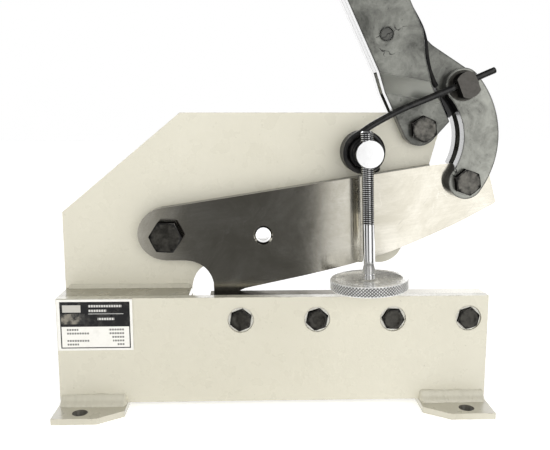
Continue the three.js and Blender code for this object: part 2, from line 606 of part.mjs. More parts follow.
function addLinks() {
  const links = new THREE.Group();
  const lean = Math.atan2(LINK_BOTTOM.x - LINK_TOP.x, LINK_TOP.z - LINK_BOTTOM.z);
  const chord = Math.hypot(LINK_TOP.x - LINK_BOTTOM.x, LINK_TOP.z - LINK_BOTTOM.z);
  links.position.set(LINK_TOP.x, 0, LINK_TOP.z);
  links.rotation.y = -lean;
  bed.add(links);
  const rearY = REAR_CHEEK_Y + LINK.thick;
  piece(links, 'link_front', plate(linkOutline(), FRONT_CHEEK_Y, FRONT_CHEEK_Y + LINK.thick, 14), black);
  piece(links, 'link_rear', plate(linkOutline(), REAR_CHEEK_Y, rearY, 14), black);
  const shape = { flats: M12.flats, head: M12.head, radius: LINK.bolt };
  const headY = FRONT_CHEEK_Y - GAP - M12.head;
  piece(links, 'link_bolt', hexBolt(0, -chord, shape, headY, rearY + BOLT_PAST_PLATE, TURNS.link), bolt);
  const washerY = rearY + GAP;
  const washerEnd = washerY + M12.washerThick;
  piece(links, 'link_washer', ring(0, -chord, LINK.bolt + GAP, M12.washer, washerY, washerEnd), bolt);
  const nut = hexNut(0, -chord, M12.flats, LINK.bolt + GAP, washerEnd + GAP, washerEnd + GAP + M12.nut);
  piece(links, 'link_nut', nut, bolt);
}

function addEyeStud() {
  const eye = new THREE.Group();
  eye.position.set(LINK_TOP.x, 0, LINK_TOP.z);
  const [tip, , , near] = WIRE_ARM;
  eye.rotation.y = -Math.atan2(tip[1] - near[1], tip[0] - near[0]);
  bed.add(eye);
  piece(eye, 'eye_stud', eyeStud(), bolt);
  const frontY = EYE.back + GAP;
  const front = ring(0, 0, LINK.bolt + GAP, EYE.washer, frontY, frontY + EYE.washerThick);
  piece(eye, 'eye_washer_front', front, bolt);
  const washerY = REAR_CHEEK_Y + LINK.thick + GAP;
  const washerEnd = washerY + M12.washerThick;
  piece(eye, 'eye_washer', ring(0, 0, LINK.bolt + GAP, M12.washer, washerY, washerEnd), bolt);
  const nutY = washerEnd + GAP;
  const nut = hexNut(0, 0, M12.flats, LINK.bolt + GAP, nutY, nutY + M12.nut, TURNS.eyeNut);
  piece(eye, 'eye_nut', nut, bolt);
}

function addHoldDown() {
  const holdDown = new THREE.Group();
  holdDown.position.set(STUD.x, 0, STUD.z);
  holdDown.rotation.y = SCREW.lean;
  bed.add(holdDown);
  piece(holdDown, 'holddown_stud', holdDownStud(), chrome);
  piece(holdDown, 'holddown_screw', holdDownScrew(), chrome);
  piece(holdDown, 'holddown_disk', holdDownDisk(), chrome);
  const nutY = FRAME.back + GAP;
  const nut = hexNut(0, 0, M12.flats, STUD.shank + GAP, nutY, nutY + M12.nut, TURNS.studNut);
  piece(holdDown, 'holddown_nut', nut, bolt);
}

addFrame();
addMainPivot();
piece(bed, 'upper_blade', upperBlade(), ground);
addLever();
addLeverPivot();
addLinks();
addEyeStud();
piece(bed, 'spring_coil', springCoil(), bolt);
piece(bed, 'spring_arm', springArm(), bolt);
addHoldDown();

const box = new THREE.Box3().setFromObject(shear, true);
const centre = box.getCenter(new THREE.Vector3());
bed.position.set(-centre.x, -centre.y, -box.min.z);

export default shear;
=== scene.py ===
import json
import math
import random

import bpy
from mathutils import Matrix, Vector

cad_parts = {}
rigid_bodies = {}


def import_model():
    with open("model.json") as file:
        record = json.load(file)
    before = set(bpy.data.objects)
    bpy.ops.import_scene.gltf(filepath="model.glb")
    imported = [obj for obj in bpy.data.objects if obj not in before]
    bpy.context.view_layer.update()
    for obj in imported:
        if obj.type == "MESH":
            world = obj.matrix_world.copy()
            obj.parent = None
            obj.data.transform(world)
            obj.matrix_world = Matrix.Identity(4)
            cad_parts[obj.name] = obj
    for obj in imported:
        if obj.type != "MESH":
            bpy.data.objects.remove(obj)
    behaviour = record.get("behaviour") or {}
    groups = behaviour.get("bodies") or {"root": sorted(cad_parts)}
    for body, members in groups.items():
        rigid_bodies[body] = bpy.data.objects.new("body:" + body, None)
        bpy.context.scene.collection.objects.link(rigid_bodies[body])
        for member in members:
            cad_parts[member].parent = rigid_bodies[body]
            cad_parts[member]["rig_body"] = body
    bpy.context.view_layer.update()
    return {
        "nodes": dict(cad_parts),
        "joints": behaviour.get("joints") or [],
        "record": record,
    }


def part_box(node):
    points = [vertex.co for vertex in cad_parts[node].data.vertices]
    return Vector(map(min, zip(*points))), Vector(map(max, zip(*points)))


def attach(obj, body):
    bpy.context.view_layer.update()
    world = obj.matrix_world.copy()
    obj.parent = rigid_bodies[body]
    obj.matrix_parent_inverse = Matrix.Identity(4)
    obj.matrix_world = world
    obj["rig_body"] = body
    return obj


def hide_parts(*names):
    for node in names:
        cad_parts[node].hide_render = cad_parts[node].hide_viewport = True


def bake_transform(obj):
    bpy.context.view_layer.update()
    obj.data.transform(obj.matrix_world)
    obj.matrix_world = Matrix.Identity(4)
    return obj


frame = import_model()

MM = 0.001
NODES = frame["nodes"]
JOINTS = {row["name"]: row for row in frame["joints"]}

# ---- Camera: metres and the photo's angle ----
CAMERA_PLACE = (-0.0207, -0.5591, 0.2401)
CAMERA_PITCH = math.radians(9.2)
CAMERA_YAW = math.radians(1.81)
CAMERA_LENS = 45.36
CAMERA_SENSOR = 36.0

# ---- Studio: metres and watts ----
FLOOR_SIZE = 8
FLOOR_PLACE = (0, 1.5, -0.0002)
FLOOR_GLOW = 0.56
SKY_FADE = (0.25, 1.0)
SKY_GLOW = (1.0, 0.1)
KEY_PLACE = (0.25, -1.8, 0.5)
KEY_TARGET = (0, 0, 0.15)
KEY_SIZE = (1.6, 1.2)
KEY_POWER = 11
FLAG_GLOW = 0.03
BACK_GLOW = 2.2
# The front card's glow is a sum. Each part runs between two places across, from one glow to another.
FRONT_GLOW = ((-0.37, -0.20, 0.62, 0.0), (0.135, 0.18, 0.10, 0.85), (0.20, 0.38, 0.0, 0.62))

# ---- CAD nodes ----
EDGE_ROUND = 0.45 * MM
EYE_ROUND = 1.1 * MM
MERGE_DISTANCE = 0.002 * MM
FLAT_ANGLE = math.radians(1)
EDGE_ANGLE = math.radians(40)
# Painted shade: the lever core is painted black below this height.
CORE_SHADE_BELOW = 252 * MM
# The feet's holes, from the foot's outer edge and from its front or rear end.
HOLE_IN = 20.3 * MM
HOLE_FROM_END = 10.8 * MM
HOLE_RADIUS = 6 * MM

# ---- Fasteners ----
ROUND_SIDES = 96
TUBE_SIDES = 64
NEAR_AXIS = 0.001 * MM
THREAD_STEPS = 8
THREAD_DEPTH = 0.58
# Node, and in millimetres: across flats, head height, radius, pitch, threaded length; then the turn.
BOLTS = (
    ("blade_bolt_1", 16, 6.4, 5, 1.5, 8, -0.384),
    ("blade_bolt_2", 16, 6.4, 5, 1.5, 8, -0.314),
    ("blade_bolt_3", 16, 6.4, 5, 1.5, 8, 0.052),
    ("blade_bolt_4", 16, 6.4, 5, 1.5, 8, -0.297),
    ("pivot_bolt", 24, 10, 8, 2, 24, 0.052),
    ("lever_bolt", 19, 7.5, 6, 1.75, 14, -0.611),
    ("link_bolt", 19, 7.5, 6, 1.75, 14, -0.698),
    ("handle_bolt", 13, 5.5, 4, 1.25, 12, 0.1),
)
WORN_BOLTS = ("lever_bolt", "link_bolt")
# Node, across flats and bore radius in millimetres, and the turn.
NUTS = (
    ("pivot_nut", 24, 8, 0.1),
    ("pivot_locknut", 24, 8, 0.4),
    ("lever_nut", 19, 6, 0.5),
    ("link_nut", 19, 6, 0.2),
    ("eye_nut", 19, 6, 0.7),
    ("holddown_nut", 19, 6, 0.3),
    ("handle_nut", 13, 4, 0.2),
)
SEAT_FLATS = 16.5 * MM
SEAT_CREST = 9.9 * MM
SEAT_RADIUS = 10.35 * MM
SEAT_ROUND = 0.4 * MM
SEAT_DEPTH = 3.4 * MM
SEAT_SUNK = 1.1 * MM

# ---- Hold-down, with heights from the foot of the screw's axis ----
SCREW_SIDES = 48
SCREW_RADIUS = 5 * MM
SCREW_PITCH = 1.5 * MM
SCREW_FOOT = 9 * MM
SCREW_FOOT_RADIUS = 4.6 * MM
SCREW_NECK = 12.6 * MM
SCREW_NECK_RADIUS = 4.0 * MM
SCREW_PLAIN_RADIUS = 4.85 * MM
SCREW_PLAIN_END = 52.5 * MM
THREAD_CUT = 0.5 * MM
DISK_RADIUS = 30.75 * MM
DISK_BOTTOM = 1.05 * MM
DISK_TOP = DISK_BOTTOM + 8.4 * MM
KNURL_COUNT = 72
KNURL_ROWS = 28
KNURL_CLIMB = 2.4 * MM
KNURL_WIDTH = 0.48
KNURL_DEPTH = 0.65 * MM
KNURL_BORDER = 0.7 * MM
KNURL_CUT = 0.45 * MM
# The dished top: radius, and depth below the rim.
DISK_DISH = (
    (29.35, 0.0), (26.4, 0.0), (25.6, 0.5), (20, 1.6), (13, 2.35),
    (8.6, 2.5), (8.1, 2.45), (7.6, 2.2), (5.2, 2.2),
)
DISK_DISH_DEPTH = 2.4 * MM
# Painted shade: the stud is dark from here back, inside the spring.
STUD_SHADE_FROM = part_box("holddown_screw")[1].y + 3 * MM
SLEEVE_INNER = 10.6 * MM
SLEEVE_OUTER = 11.95 * MM
SLEEVE_ROUND = 0.4 * MM

# ---- Return spring: the arm's points are (right, up) from the stud's axis, in millimetres ----
WIRE_RADIUS = 2.6 * MM
WIRE_SIDES = 20
COIL_RADIUS = 14.75 * MM
COIL_DEPTH = 18.94 * MM
COIL_TURN = (130, 1350)
COIL_STEP = 10
HOOK_OUT = 14.5 * MM
WIRE_ARM = (
    (100.5, 63.8), (92.5, 60.4), (78.5, 54.3), (62.5, 47.5), (46.1, 40.8),
    (32.1, 35.2), (22.8, 30.8), (13.4, 25.8), (4.1, 20.4), (-2.5, 15.8),
)

# ---- Lever and grip, along the handle from the lever's pivot ----
LEVER_LEAN = math.radians(25.4)
# A black bead along the front cheek's right edge, standing for the deep shade there.
SHADE_BEAD_RADIUS = 2.1 * MM
SHADE_BEAD_PROUD = 1.2 * MM
SHADE_BEAD_PATH = (
    (28.3, 150), (28.3, 120), (28.7, 96), (30.1, 80), (30.3, 72),
    (28.9, 62.6), (25.5, 51.8), (23.3, 42), (22.7, 32), (23.1, 27),
)
HANDLE_RIGHT = 6.4 * MM
GRIP_START = 430 * MM
GRIP_END = 561 * MM
GRIP_BORE = 17.1 * MM
GRIP_BORE_END = 555.4 * MM
GRIP_FLANGE = 24 * MM
RIB_PITCH = 6.5 * MM
RIB_COUNT = 16
# One rib: how far along its pitch, and the radius in millimetres.
RIB_SHAPE = ((0.0, 19.3), (0.12, 19.9), (0.3, 20.45), (0.7, 20.45), (0.88, 19.9))

# ---- Welds ----
FOOT_WELD = 8 * MM
WEB_WELD = 3.2 * MM
WELD_STEP = 0.8 * MM
WELD_RIPPLE = 4.2 * MM
WELD_BURIED = 0.6 * MM
WELD_SIDES = 10
BED_WELD_SEED = {"left": 4, "right": 5}
FRAME_WELD_SEED = 3
WEB_WELD_SEED = 11

# ---- Colours that several looks share ----
# Black for the sides and corners of plates and fasteners, partly painted shade.
BLACK_AND_SHADE = (0.008, 0.0075, 0.007)
EDGE_SHADE_BLACK = (0.010, 0.009, 0.008)
HOLE_SHADE = (0.13, 0.12, 0.095)
BEND_SHEEN = (0.50, 0.51, 0.46)


# ---- Node helpers ----
def material(name, color, roughness, metallic=0.0, **sockets):
    """A new material, its node tree and its shader. Sockets are constants on the shader."""
    made = bpy.data.materials.new(name)
    made.use_nodes = True
    tree = made.node_tree
    shader = tree.nodes["Principled BSDF"]
    shader.inputs["Base Color"].default_value = (*color, 1)
    shader.inputs["Roughness"].default_value = roughness
    shader.inputs["Metallic"].default_value = metallic
    for key, value in sockets.items():
        shader.inputs[key.replace("_", " ")].default_value = value
    return made, tree, shader


def put(tree, kind, inputs=None, **settings):
    """Adds a node. Each input is a constant or another node's output socket."""
    node = tree.nodes.new(kind)
    for key, value in settings.items():
        setattr(node, key, value)
    for key, value in (inputs or {}).items():
        if isinstance(value, bpy.types.NodeSocket):
            tree.links.new(value, node.inputs[key])
        else:
            node.inputs[key].default_value = value
    return node


def math_node(tree, operation, a, b=0.0):
    return put(tree, "ShaderNodeMath", {0: a, 1: b}, operation=operation).outputs[0]


def times(tree, value, *others):
    for other in others:
        value = math_node(tree, "MULTIPLY", value, other)
    return value


def plus(tree, value, *others):
    for other in others:
        value = math_node(tree, "ADD", value, other)
    return value


def object_place(tree, stretch=(1, 1, 1), tilt=0.0):
    """Object coordinates, tilted about Y and then stretched. The objects sit at the origin: metres."""
    coords = put(tree, "ShaderNodeTexCoord").outputs["Object"]
    if tilt:
        inputs = {"Vector": coords, "Angle": tilt}
        coords = put(tree, "ShaderNodeVectorRotate", inputs, rotation_type="Y_AXIS").outputs[0]
    return put(tree, "ShaderNodeMapping", {"Vector": coords, "Scale": stretch}).outputs["Vector"]


def part_along(tree, vector, axis):
    return put(tree, "ShaderNodeSeparateXYZ", {"Vector": vector}).outputs[axis]


def noise(tree, place, scale, detail=3.0, rough=0.55, distortion=0.0):
    inputs = {
        "Vector": place, "Scale": scale, "Detail": detail, "Roughness": rough, "Distortion": distortion,
    }
    return put(tree, "ShaderNodeTexNoise", inputs).outputs["Fac"]


def spread(tree, value, low, high, to_low=0.0, to_high=1.0):
    """Maps the range from low to high onto another range, and holds its ends outside it."""
    inputs = {"Value": value, "From Min": low, "From Max": high, "To Min": to_low, "To Max": to_high}
    return put(tree, "ShaderNodeMapRange", inputs, clamp=True).outputs[0]


def blend_color(tree, factor, a, b):
    node = put(tree, "ShaderNodeMix", data_type="RGBA")
    for socket, value in ((0, factor), (6, a), (7, b)):
        if isinstance(value, bpy.types.NodeSocket):
            tree.links.new(value, node.inputs[socket])
        else:
            node.inputs[socket].default_value = value if socket == 0 else (*value, 1)
    return node.outputs[2]


def attribute(tree, name):
    return put(tree, "ShaderNodeAttribute", attribute_name=name).outputs["Fac"]


def edge_mask(tree, radius):
    """1 along sharp edges, 0 on flat faces."""
    rounded = put(tree, "ShaderNodeBevel", {"Radius": radius}, samples=6).outputs["Normal"]
    plain = put(tree, "ShaderNodeNewGeometry").outputs["Normal"]
    facing = put(tree, "ShaderNodeVectorMath", {0: rounded, 1: plain}, operation="DOT_PRODUCT")
    return spread(tree, facing.outputs["Value"], 0.997, 0.90)


def faces_along(tree, axis, low=0.45, high=0.6):
    """1 where a face looks along the axis of the object, either way, and 0 where it looks across it."""
    normal = put(tree, "ShaderNodeTexCoord").outputs["Normal"]
    return spread(tree, math_node(tree, "ABSOLUTE", part_along(tree, normal, axis)), low, high)


def dull_sides(tree, shader, metallic, coat):
    """Front and rear faces keep their sheen; the sides between them hardly reflect."""
    flat = faces_along(tree, "Y")
    for socket, value in (("Metallic", metallic), ("Coat Weight", coat), ("Specular IOR Level", 0.5)):
        tree.links.new(times(tree, flat, value), shader.inputs[socket])
    return flat


def cracks(tree, place, scale, width, cover):
    """Fine broken lines: the borders of warped cells, kept only in patches."""
    inputs = {"Vector": place, "Scale": 2.5 * scale, "Detail": 4.0}
    warp = put(tree, "ShaderNodeTexNoise", inputs).outputs["Color"]
    shift = put(tree, "ShaderNodeVectorMath", {0: warp, 3: 0.6 / scale}, operation="SCALE").outputs["Vector"]
    moved = put(tree, "ShaderNodeVectorMath", {0: place, 1: shift}, operation="ADD").outputs["Vector"]
    inputs = {"Vector": moved, "Scale": scale}
    cells = put(tree, "ShaderNodeTexVoronoi", inputs, feature="DISTANCE_TO_EDGE")
    lines = spread(tree, cells.outputs["Distance"], width, 0.3 * width)
    patches = spread(tree, noise(tree, place, 0.7 * scale, 3), cover, cover + 0.03)
    return times(tree, lines, patches)


def foot_holes(tree, outer, inner):
    """1 within the inner distance of the axis of a hole in the feet, and 0 past the outer distance."""
    here = put(tree, "ShaderNodeNewGeometry").outputs["Position"]
    flat = put(tree, "ShaderNodeVectorMath", {0: here, 1: (1, 1, 0)}, operation="MULTIPLY").outputs["Vector"]
    covered = 0.0
    for side in ("left", "right"):
        low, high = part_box("foot_" + side)
        x = low.x + HOLE_IN if side == "left" else high.x - HOLE_IN
        for y in (low.y + HOLE_FROM_END, high.y - HOLE_FROM_END):
            apart = put(tree, "ShaderNodeVectorMath", {0: flat, 1: (x, y, 0)}, operation="DISTANCE")
            covered = plus(tree, spread(tree, apart.outputs["Value"], outer, inner), covered)
    return covered


def finish_surface(tree, shader, color, roughness=None, height=None, strength=0.2, distance=0.1 * MM):
    """Links the colour, and the roughness and the bump where there are any."""
    tree.links.new(color, shader.inputs["Base Color"])
    if roughness is not None:
        tree.links.new(roughness, shader.inputs["Roughness"])
    if height is not None:
        inputs = {"Height": height, "Strength": strength, "Distance": distance}
        bump = put(tree, "ShaderNodeBump", inputs).outputs["Normal"]
        tree.links.new(bump, shader.inputs["Normal"])


# ---- Materials ----
def cream_paint(name, pale, deep, grime=0.1, shaded_holes=False):
    """Thick glossy enamel: faint runs and orange peel, small specks, dirt in patches, worn edges. With
    shaded holes, the inner faces of the feet's holes are darkened: painted shade."""
    made, tree, shader = material(name, pale, 0.3, Coat_Weight=0.3, Coat_Roughness=0.1)
    place = object_place(tree)
    color = blend_color(tree, spread(tree, noise(tree, place, 9, 4), 0.35, 0.7), deep, pale)
    specks = spread(tree, noise(tree, place, 420, 2, 0.6), 0.70, 0.75)
    color = blend_color(tree, times(tree, specks, 0.4), color, (0.30, 0.27, 0.20))
    stain = spread(tree, noise(tree, place, 38, 6, 0.7), 0.58, 0.78, 0, grime)
    color = blend_color(tree, stain, color, (0.50, 0.46, 0.36))
    worn = spread(tree, noise(tree, place, 160, 4), 0.5, 0.62)
    chips = times(tree, edge_mask(tree, 0.9 * MM), worn, 0.7)
    color = blend_color(tree, chips, color, (0.24, 0.20, 0.14))
    # Painted shade: the inner faces of the feet's holes are darkened.
    if shaded_holes:
        walls = foot_holes(tree, HOLE_RADIUS + 0.2 * MM, HOLE_RADIUS)
        color = blend_color(tree, walls, color, HOLE_SHADE)
    rough = spread(tree, noise(tree, place, 60, 3), 0.3, 0.7, 0.2, 0.42)
    peel = noise(tree, place, 420, 2)
    runs = noise(tree, object_place(tree, (1, 1, 0.25)), 70, 3)
    height = plus(tree, times(tree, peel, 0.35), runs)
    finish_surface(tree, shader, color, rough, height, 0.6, 0.4 * MM)
    return made


def ground_steel(name, dark, light, scale_axis, tilt=0.0, grazing=1.0, shine=None):
    """Surface-ground tool steel: lines along the blade that spread reflections across them, scratches,
    a film of oil in patches, and dark scale on the faces that weren't ground. Along the given node the
    colour turns pale towards its right end: a painted reflection. Grazing is how much light the steel
    reflects at a flat angle."""
    made, tree, shader = material(
        name, light, 0.27, 1.0, Anisotropic=0.94, Specular_Tint=(grazing, grazing, grazing, 1))
    across = put(tree, "ShaderNodeCombineXYZ", {"X": -math.sin(tilt), "Z": math.cos(tilt)}).outputs[0]
    across = put(
        tree, "ShaderNodeVectorTransform", {"Vector": across},
        vector_type="VECTOR", convert_from="OBJECT", convert_to="WORLD").outputs[0]
    tree.links.new(across, shader.inputs["Tangent"])
    lines = noise(tree, object_place(tree, (14, 900, 900), tilt), 1.0, 3, 0.6)
    fine = noise(tree, object_place(tree, (60, 3200, 3200), tilt), 1.0, 2, 0.6)
    place = object_place(tree)
    film = noise(tree, place, 22, 6, 0.68, 0.6)
    color = blend_color(tree, spread(tree, film, 0.38, 0.66), dark, light)
    color = blend_color(tree, spread(tree, lines, 0.35, 0.75, 0, 0.45), color, dark)
    slanted = object_place(tree, (1500, 120, 30), math.radians(-38))
    scratches = spread(tree, noise(tree, slanted, 1.0, 2), 0.68, 0.74)
    color = blend_color(tree, times(tree, scratches, 0.225), color, (0.10, 0.09, 0.075))
    nicks = cracks(tree, place, 45, 0.012, 0.60)
    color = blend_color(tree, times(tree, nicks, 0.3), color, (0.95, 0.93, 0.88))
    spots = spread(tree, noise(tree, place, 170, 4, 0.7), 0.66, 0.74)
    color = blend_color(tree, times(tree, spots, 0.25), color, (0.16, 0.12, 0.08))
    # Painted reflection: the colour turns pale towards the right end of the given node.
    if shine:
        low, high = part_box(shine)
        length = high.x - low.x
        along = part_along(tree, place, "X")
        painted_shine = spread(tree, along, low.x + 0.35 * length, high.x - 0.1 * length)
        color = blend_color(tree, painted_shine, color, (0.86, 0.84, 0.78))
    color = blend_color(tree, faces_along(tree, scale_axis), color, (0.045, 0.040, 0.032))
    rough = spread(tree, film, 0.3, 0.7, 0.09, 0.16)
    height = plus(tree, lines, times(tree, fine, 0.6))
    finish_surface(tree, shader, color, rough, height, 0.2, 0.05 * MM)
    return made


def black_iron(name, deep, pale, gloss=0.3, edge=1.0, black_sides=True, shade_below=None):
    """Oiled black plate: mottled mill scale, rubbed grey patches, small cracks, and dark rounded edges that
    are partly painted shade.
    With black sides the plate's cut edges are black and smooth, partly as painted shade, and its slanting
    bend has an even painted sheen."""
    made, tree, shader = material(name, pale, gloss, 0.9, Coat_Weight=0.6, Coat_Roughness=0.12)
    flat = faces_along(tree, "Y")
    place = object_place(tree)
    mottle = noise(tree, place, 48, 6, 0.66, 0.5)
    broad = noise(tree, place, 15, 3)
    mixed = plus(tree, times(tree, mottle, 0.6), times(tree, broad, 0.4))
    color = blend_color(tree, spread(tree, mixed, 0.42, 0.57), deep, pale)
    grain = spread(tree, noise(tree, place, 260, 4, 0.7), 0.35, 0.65, 0, 0.3)
    color = blend_color(tree, grain, color, deep)
    pits = spread(tree, noise(tree, place, 330, 4, 0.7), 0.61, 0.72)
    splits = cracks(tree, place, 42, 0.022, 0.585)
    hollow = math_node(tree, "MAXIMUM", times(tree, pits, 0.6), splits)
    color = blend_color(tree, hollow, color, (0.014, 0.013, 0.011))
    # Painted sheen: the slanting bend gets a fixed pale colour for its reflection.
    if black_sides:
        bend = math_node(
            tree, "SUBTRACT", faces_along(tree, "Y", 0.6, 0.7), faces_along(tree, "Y", 0.85, 0.97))
        color = blend_color(tree, bend, color, BEND_SHEEN)
    # Dark edges, widened to stand partly for the shade along them: painted shade.
    color = blend_color(tree, times(tree, edge_mask(tree, 2.3 * MM), edge), color, EDGE_SHADE_BLACK)
    # Black sides: partly painted shade.
    if black_sides:
        color = blend_color(tree, flat, BLACK_AND_SHADE, color)
    # Painted shade: black below the given height.
    if shade_below is not None:
        above = spread(tree, part_along(tree, place, "Z"), shade_below, shade_below + 5 * MM)
        color = blend_color(tree, above, BLACK_AND_SHADE, color)
    rough = spread(tree, mottle, 0.3, 0.7, gloss - 0.08, gloss + 0.2)
    height = math_node(tree, "SUBTRACT", mottle, times(tree, hollow, 0.6))
    if black_sides:
        height = times(tree, height, flat)
        rough = spread(tree, flat, 0.0, 1.0, gloss, rough)
    finish_surface(tree, shader, color, rough, height, 0.4, 0.25 * MM)
    return made


def black_oxide(name, deep, pale, gloss, rubbed):
    """Fasteners: near-black oxide, rubbed paler on some edges, partly as a painted highlight, and black on
    the sides and the corners, partly as painted shade.
    """
    made, tree, shader = material(name, pale, gloss, Coat_Roughness=0.2)
    flat = dull_sides(tree, shader, 0.8, 0.2)
    place = object_place(tree)
    mottle = noise(tree, place, 240, 5, 0.6)
    color = blend_color(tree, spread(tree, mottle, 0.36, 0.68), deep, pale)
    # Black sides and hexagon corners: partly painted shade.
    color = blend_color(tree, flat, BLACK_AND_SHADE, color)
    color = blend_color(tree, attribute(tree, "cut"), color, BLACK_AND_SHADE)
    worn = spread(tree, noise(tree, place, 120, 3), 0.40, 0.55)
    # Pale edges: wear, and partly a painted highlight.
    wear_and_highlight = times(tree, edge_mask(tree, 0.6 * MM), worn, rubbed)
    color = blend_color(tree, wear_and_highlight, color, (0.42, 0.40, 0.36))
    rough = spread(tree, mottle, 0.3, 0.7, gloss - 0.06, gloss + 0.2)
    finish_surface(tree, shader, color, rough, mottle, 0.4, 0.15 * MM)
    return made


def spring_black(name, gloss, coat):
    """Oil-blacked steel: nearly black, with dull specks. The wire is smooth with a thin highlight."""
    made, tree, shader = material(
        name, (0.012, 0.012, 0.012), gloss,
        Coat_Weight=coat, Coat_Roughness=0.06, Specular_IOR_Level=0.3)
    mottle = noise(tree, object_place(tree), 200, 4, 0.6)
    color = blend_color(tree, spread(tree, mottle, 0.4, 0.7), (0.005, 0.005, 0.005), (0.022, 0.021, 0.019))
    rough = spread(tree, mottle, 0.3, 0.7, gloss - 0.02, gloss + 0.12)
    finish_surface(tree, shader, color, rough, mottle, 0.2, 0.08 * MM)
    return made


def bright_chrome(name, shine, dull, shade_from=None, rough=0.06, metallic=1.0):
    """Plated steel: bright, with faint swirls, finger marks and dull spots, and painted shade where it is
    cut in deep.
    The depth of cut is the mesh's own attribute, and 0 where a piece has none."""
    made, tree, shader = material(name, shine, 0.1, metallic)
    place = object_place(tree)
    marks = noise(tree, place, 90, 5, 0.7)
    color = blend_color(tree, spread(tree, marks, 0.5, 0.8, 0, 0.6), shine, dull)
    # Painted shade in the grooves of threads and knurls.
    deep = times(tree, attribute(tree, "cut"), 0.95)
    color = blend_color(tree, deep, color, (0.02, 0.019, 0.017))
    # Painted shade: dark behind the given depth.
    if shade_from is not None:
        behind = spread(tree, part_along(tree, place, "Y"), shade_from, shade_from + MM)
        color = blend_color(tree, behind, color, (0.02, 0.02, 0.018))
    rough = spread(tree, marks, 0.35, 0.75, rough, rough + 0.14)
    finish_surface(tree, shader, color, rough, noise(tree, place, 500, 2), 0.06, 0.05 * MM)
    return made


def grip_rubber():
    """Black moulded rubber with a fine grain and dust in patches."""
    made, tree, shader = material("moulded_rubber", (0.018, 0.018, 0.019), 0.6, Specular_IOR_Level=0.35)
    place = object_place(tree)
    dust = spread(tree, noise(tree, place, 45, 5, 0.7), 0.5, 0.75, 0, 0.35)
    color = blend_color(tree, dust, (0.016, 0.016, 0.017), (0.07, 0.068, 0.064))
    grain = noise(tree, place, 1400, 2)
    rough = spread(tree, grain, 0.3, 0.7, 0.5, 0.75)
    finish_surface(tree, shader, color, rough, grain, 0.4, 0.08 * MM)
    return made


def printed_label():
    """A generic plate: pale border, thin dark frame, dark banner above, pale field with dark dashes below.
    Places on it are shares of its width and height."""
    made, tree, shader = material(
        "printed_plate", (0.8, 0.8, 0.8), 0.35,
        Coat_Weight=0.1, Coat_Roughness=0.1, Specular_IOR_Level=0.25)
    low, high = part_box("name_plate")
    place = object_place(tree)
    across = spread(tree, part_along(tree, place, "X"), low.x, high.x)
    up = spread(tree, part_along(tree, place, "Z"), low.z, high.z)

    def within(value, a, b):
        above = math_node(tree, "GREATER_THAN", value, a)
        return times(tree, above, math_node(tree, "LESS_THAN", value, b))

    def panel(x0, x1, z0, z1):
        return times(tree, within(across, x0, x1), within(up, z0, z1))

    white, dark = (0.88, 0.865, 0.81), (0.012, 0.012, 0.013)
    picture = spread(tree, noise(tree, place, 150, 4), 0.45, 0.6)
    picture = blend_color(tree, picture, (0.03, 0.03, 0.03), (0.24, 0.22, 0.18))
    color = blend_color(tree, panel(0.045, 0.965, 0.045, 0.955), white, dark)
    color = blend_color(tree, panel(0.06, 0.95, 0.065, 0.47), color, white)
    color = blend_color(tree, panel(0.06, 0.37, 0.52, 0.72), color, picture)
    color = blend_color(tree, panel(0.08, 0.32, 0.75, 0.89), color, (0.55, 0.53, 0.48))
    color = blend_color(tree, panel(0.42, 0.88, 0.715, 0.725), color, (0.6, 0.6, 0.58))

    # Rows of dashes stand in for the printing: pale ones on the banner, dark ones on the field.
    wave = math_node(tree, "SINE", times(tree, across, 190))
    strokes = spread(tree, wave, -0.75, -0.45, 0.15, 0.85)
    for x0, x1, z in ((0.42, 0.86, 0.87), (0.42, 0.66, 0.78), (0.54, 0.76, 0.62)):
        line = times(tree, panel(x0, x1, z - 0.022, z + 0.022), strokes)
        color = blend_color(tree, line, color, (0.75, 0.74, 0.70))
    rows = ((0.28, 0.68), (0.42, 0.68), (0.0, 0.72), (0.42, 0.73), (0.28, 0.79))
    for row, (left_end, right_start) in enumerate(rows):
        z = 0.41 - 0.072 * row
        for x0, x1 in ((0.13, left_end), (right_start, 0.88)):
            line = times(tree, panel(x0, x1, z - 0.018, z + 0.018), strokes)
            color = blend_color(tree, line, color, (0.06, 0.06, 0.055))
    grime = spread(tree, noise(tree, place, 120, 5, 0.7), 0.5, 0.8, 0, 0.2)
    color = blend_color(tree, grime, color, (0.35, 0.33, 0.28))
    rough = spread(tree, noise(tree, place, 90, 3), 0.3, 0.7, 0.25, 0.45)
    finish_surface(tree, shader, color, rough, noise(tree, place, 600, 2), 0.08, 0.05 * MM)
    return made


def floor_paper():
    """White paper with a glow of its own, and a painted shadow right under the feet's holes."""
    made, tree, shader = material("studio_floor", (0.86, 0.86, 0.86), 0.7, Emission_Color=(1, 1, 1, 1))
    place = object_place(tree)
    cloud = spread(tree, noise(tree, place, 2, 3), 0.3, 0.7)
    color = blend_color(tree, cloud, (0.88, 0.88, 0.88), (0.91, 0.91, 0.91))
    # Painted shadow: dark and without glow under the feet's holes.
    shade = foot_holes(tree, 11 * MM, 8 * MM)
    color = blend_color(tree, shade, color, HOLE_SHADE)
    tree.links.new(spread(tree, shade, 0.0, 1.0, FLOOR_GLOW, 0.0), shader.inputs["Emission Strength"])
    finish_surface(tree, shader, color, None, noise(tree, place, 300, 3), 0.05, 0.1 * MM)
    return made


PAINT = cream_paint("cream_enamel", (0.69, 0.66, 0.545), (0.655, 0.625, 0.51))
# A darker copy of the cream paint: painted shade on the feet, with painted shade in their holes.
FOOT_PAINT_SHADED = cream_paint("foot_enamel_shaded", (0.66, 0.63, 0.52), (0.62, 0.59, 0.48), shaded_holes=True)
# A lighter copy of the cream paint: painted light that evens out the shade on the frame plate.
FRAME_PAINT_LIT = cream_paint("frame_enamel_lit", (0.73, 0.70, 0.58), (0.695, 0.665, 0.545))
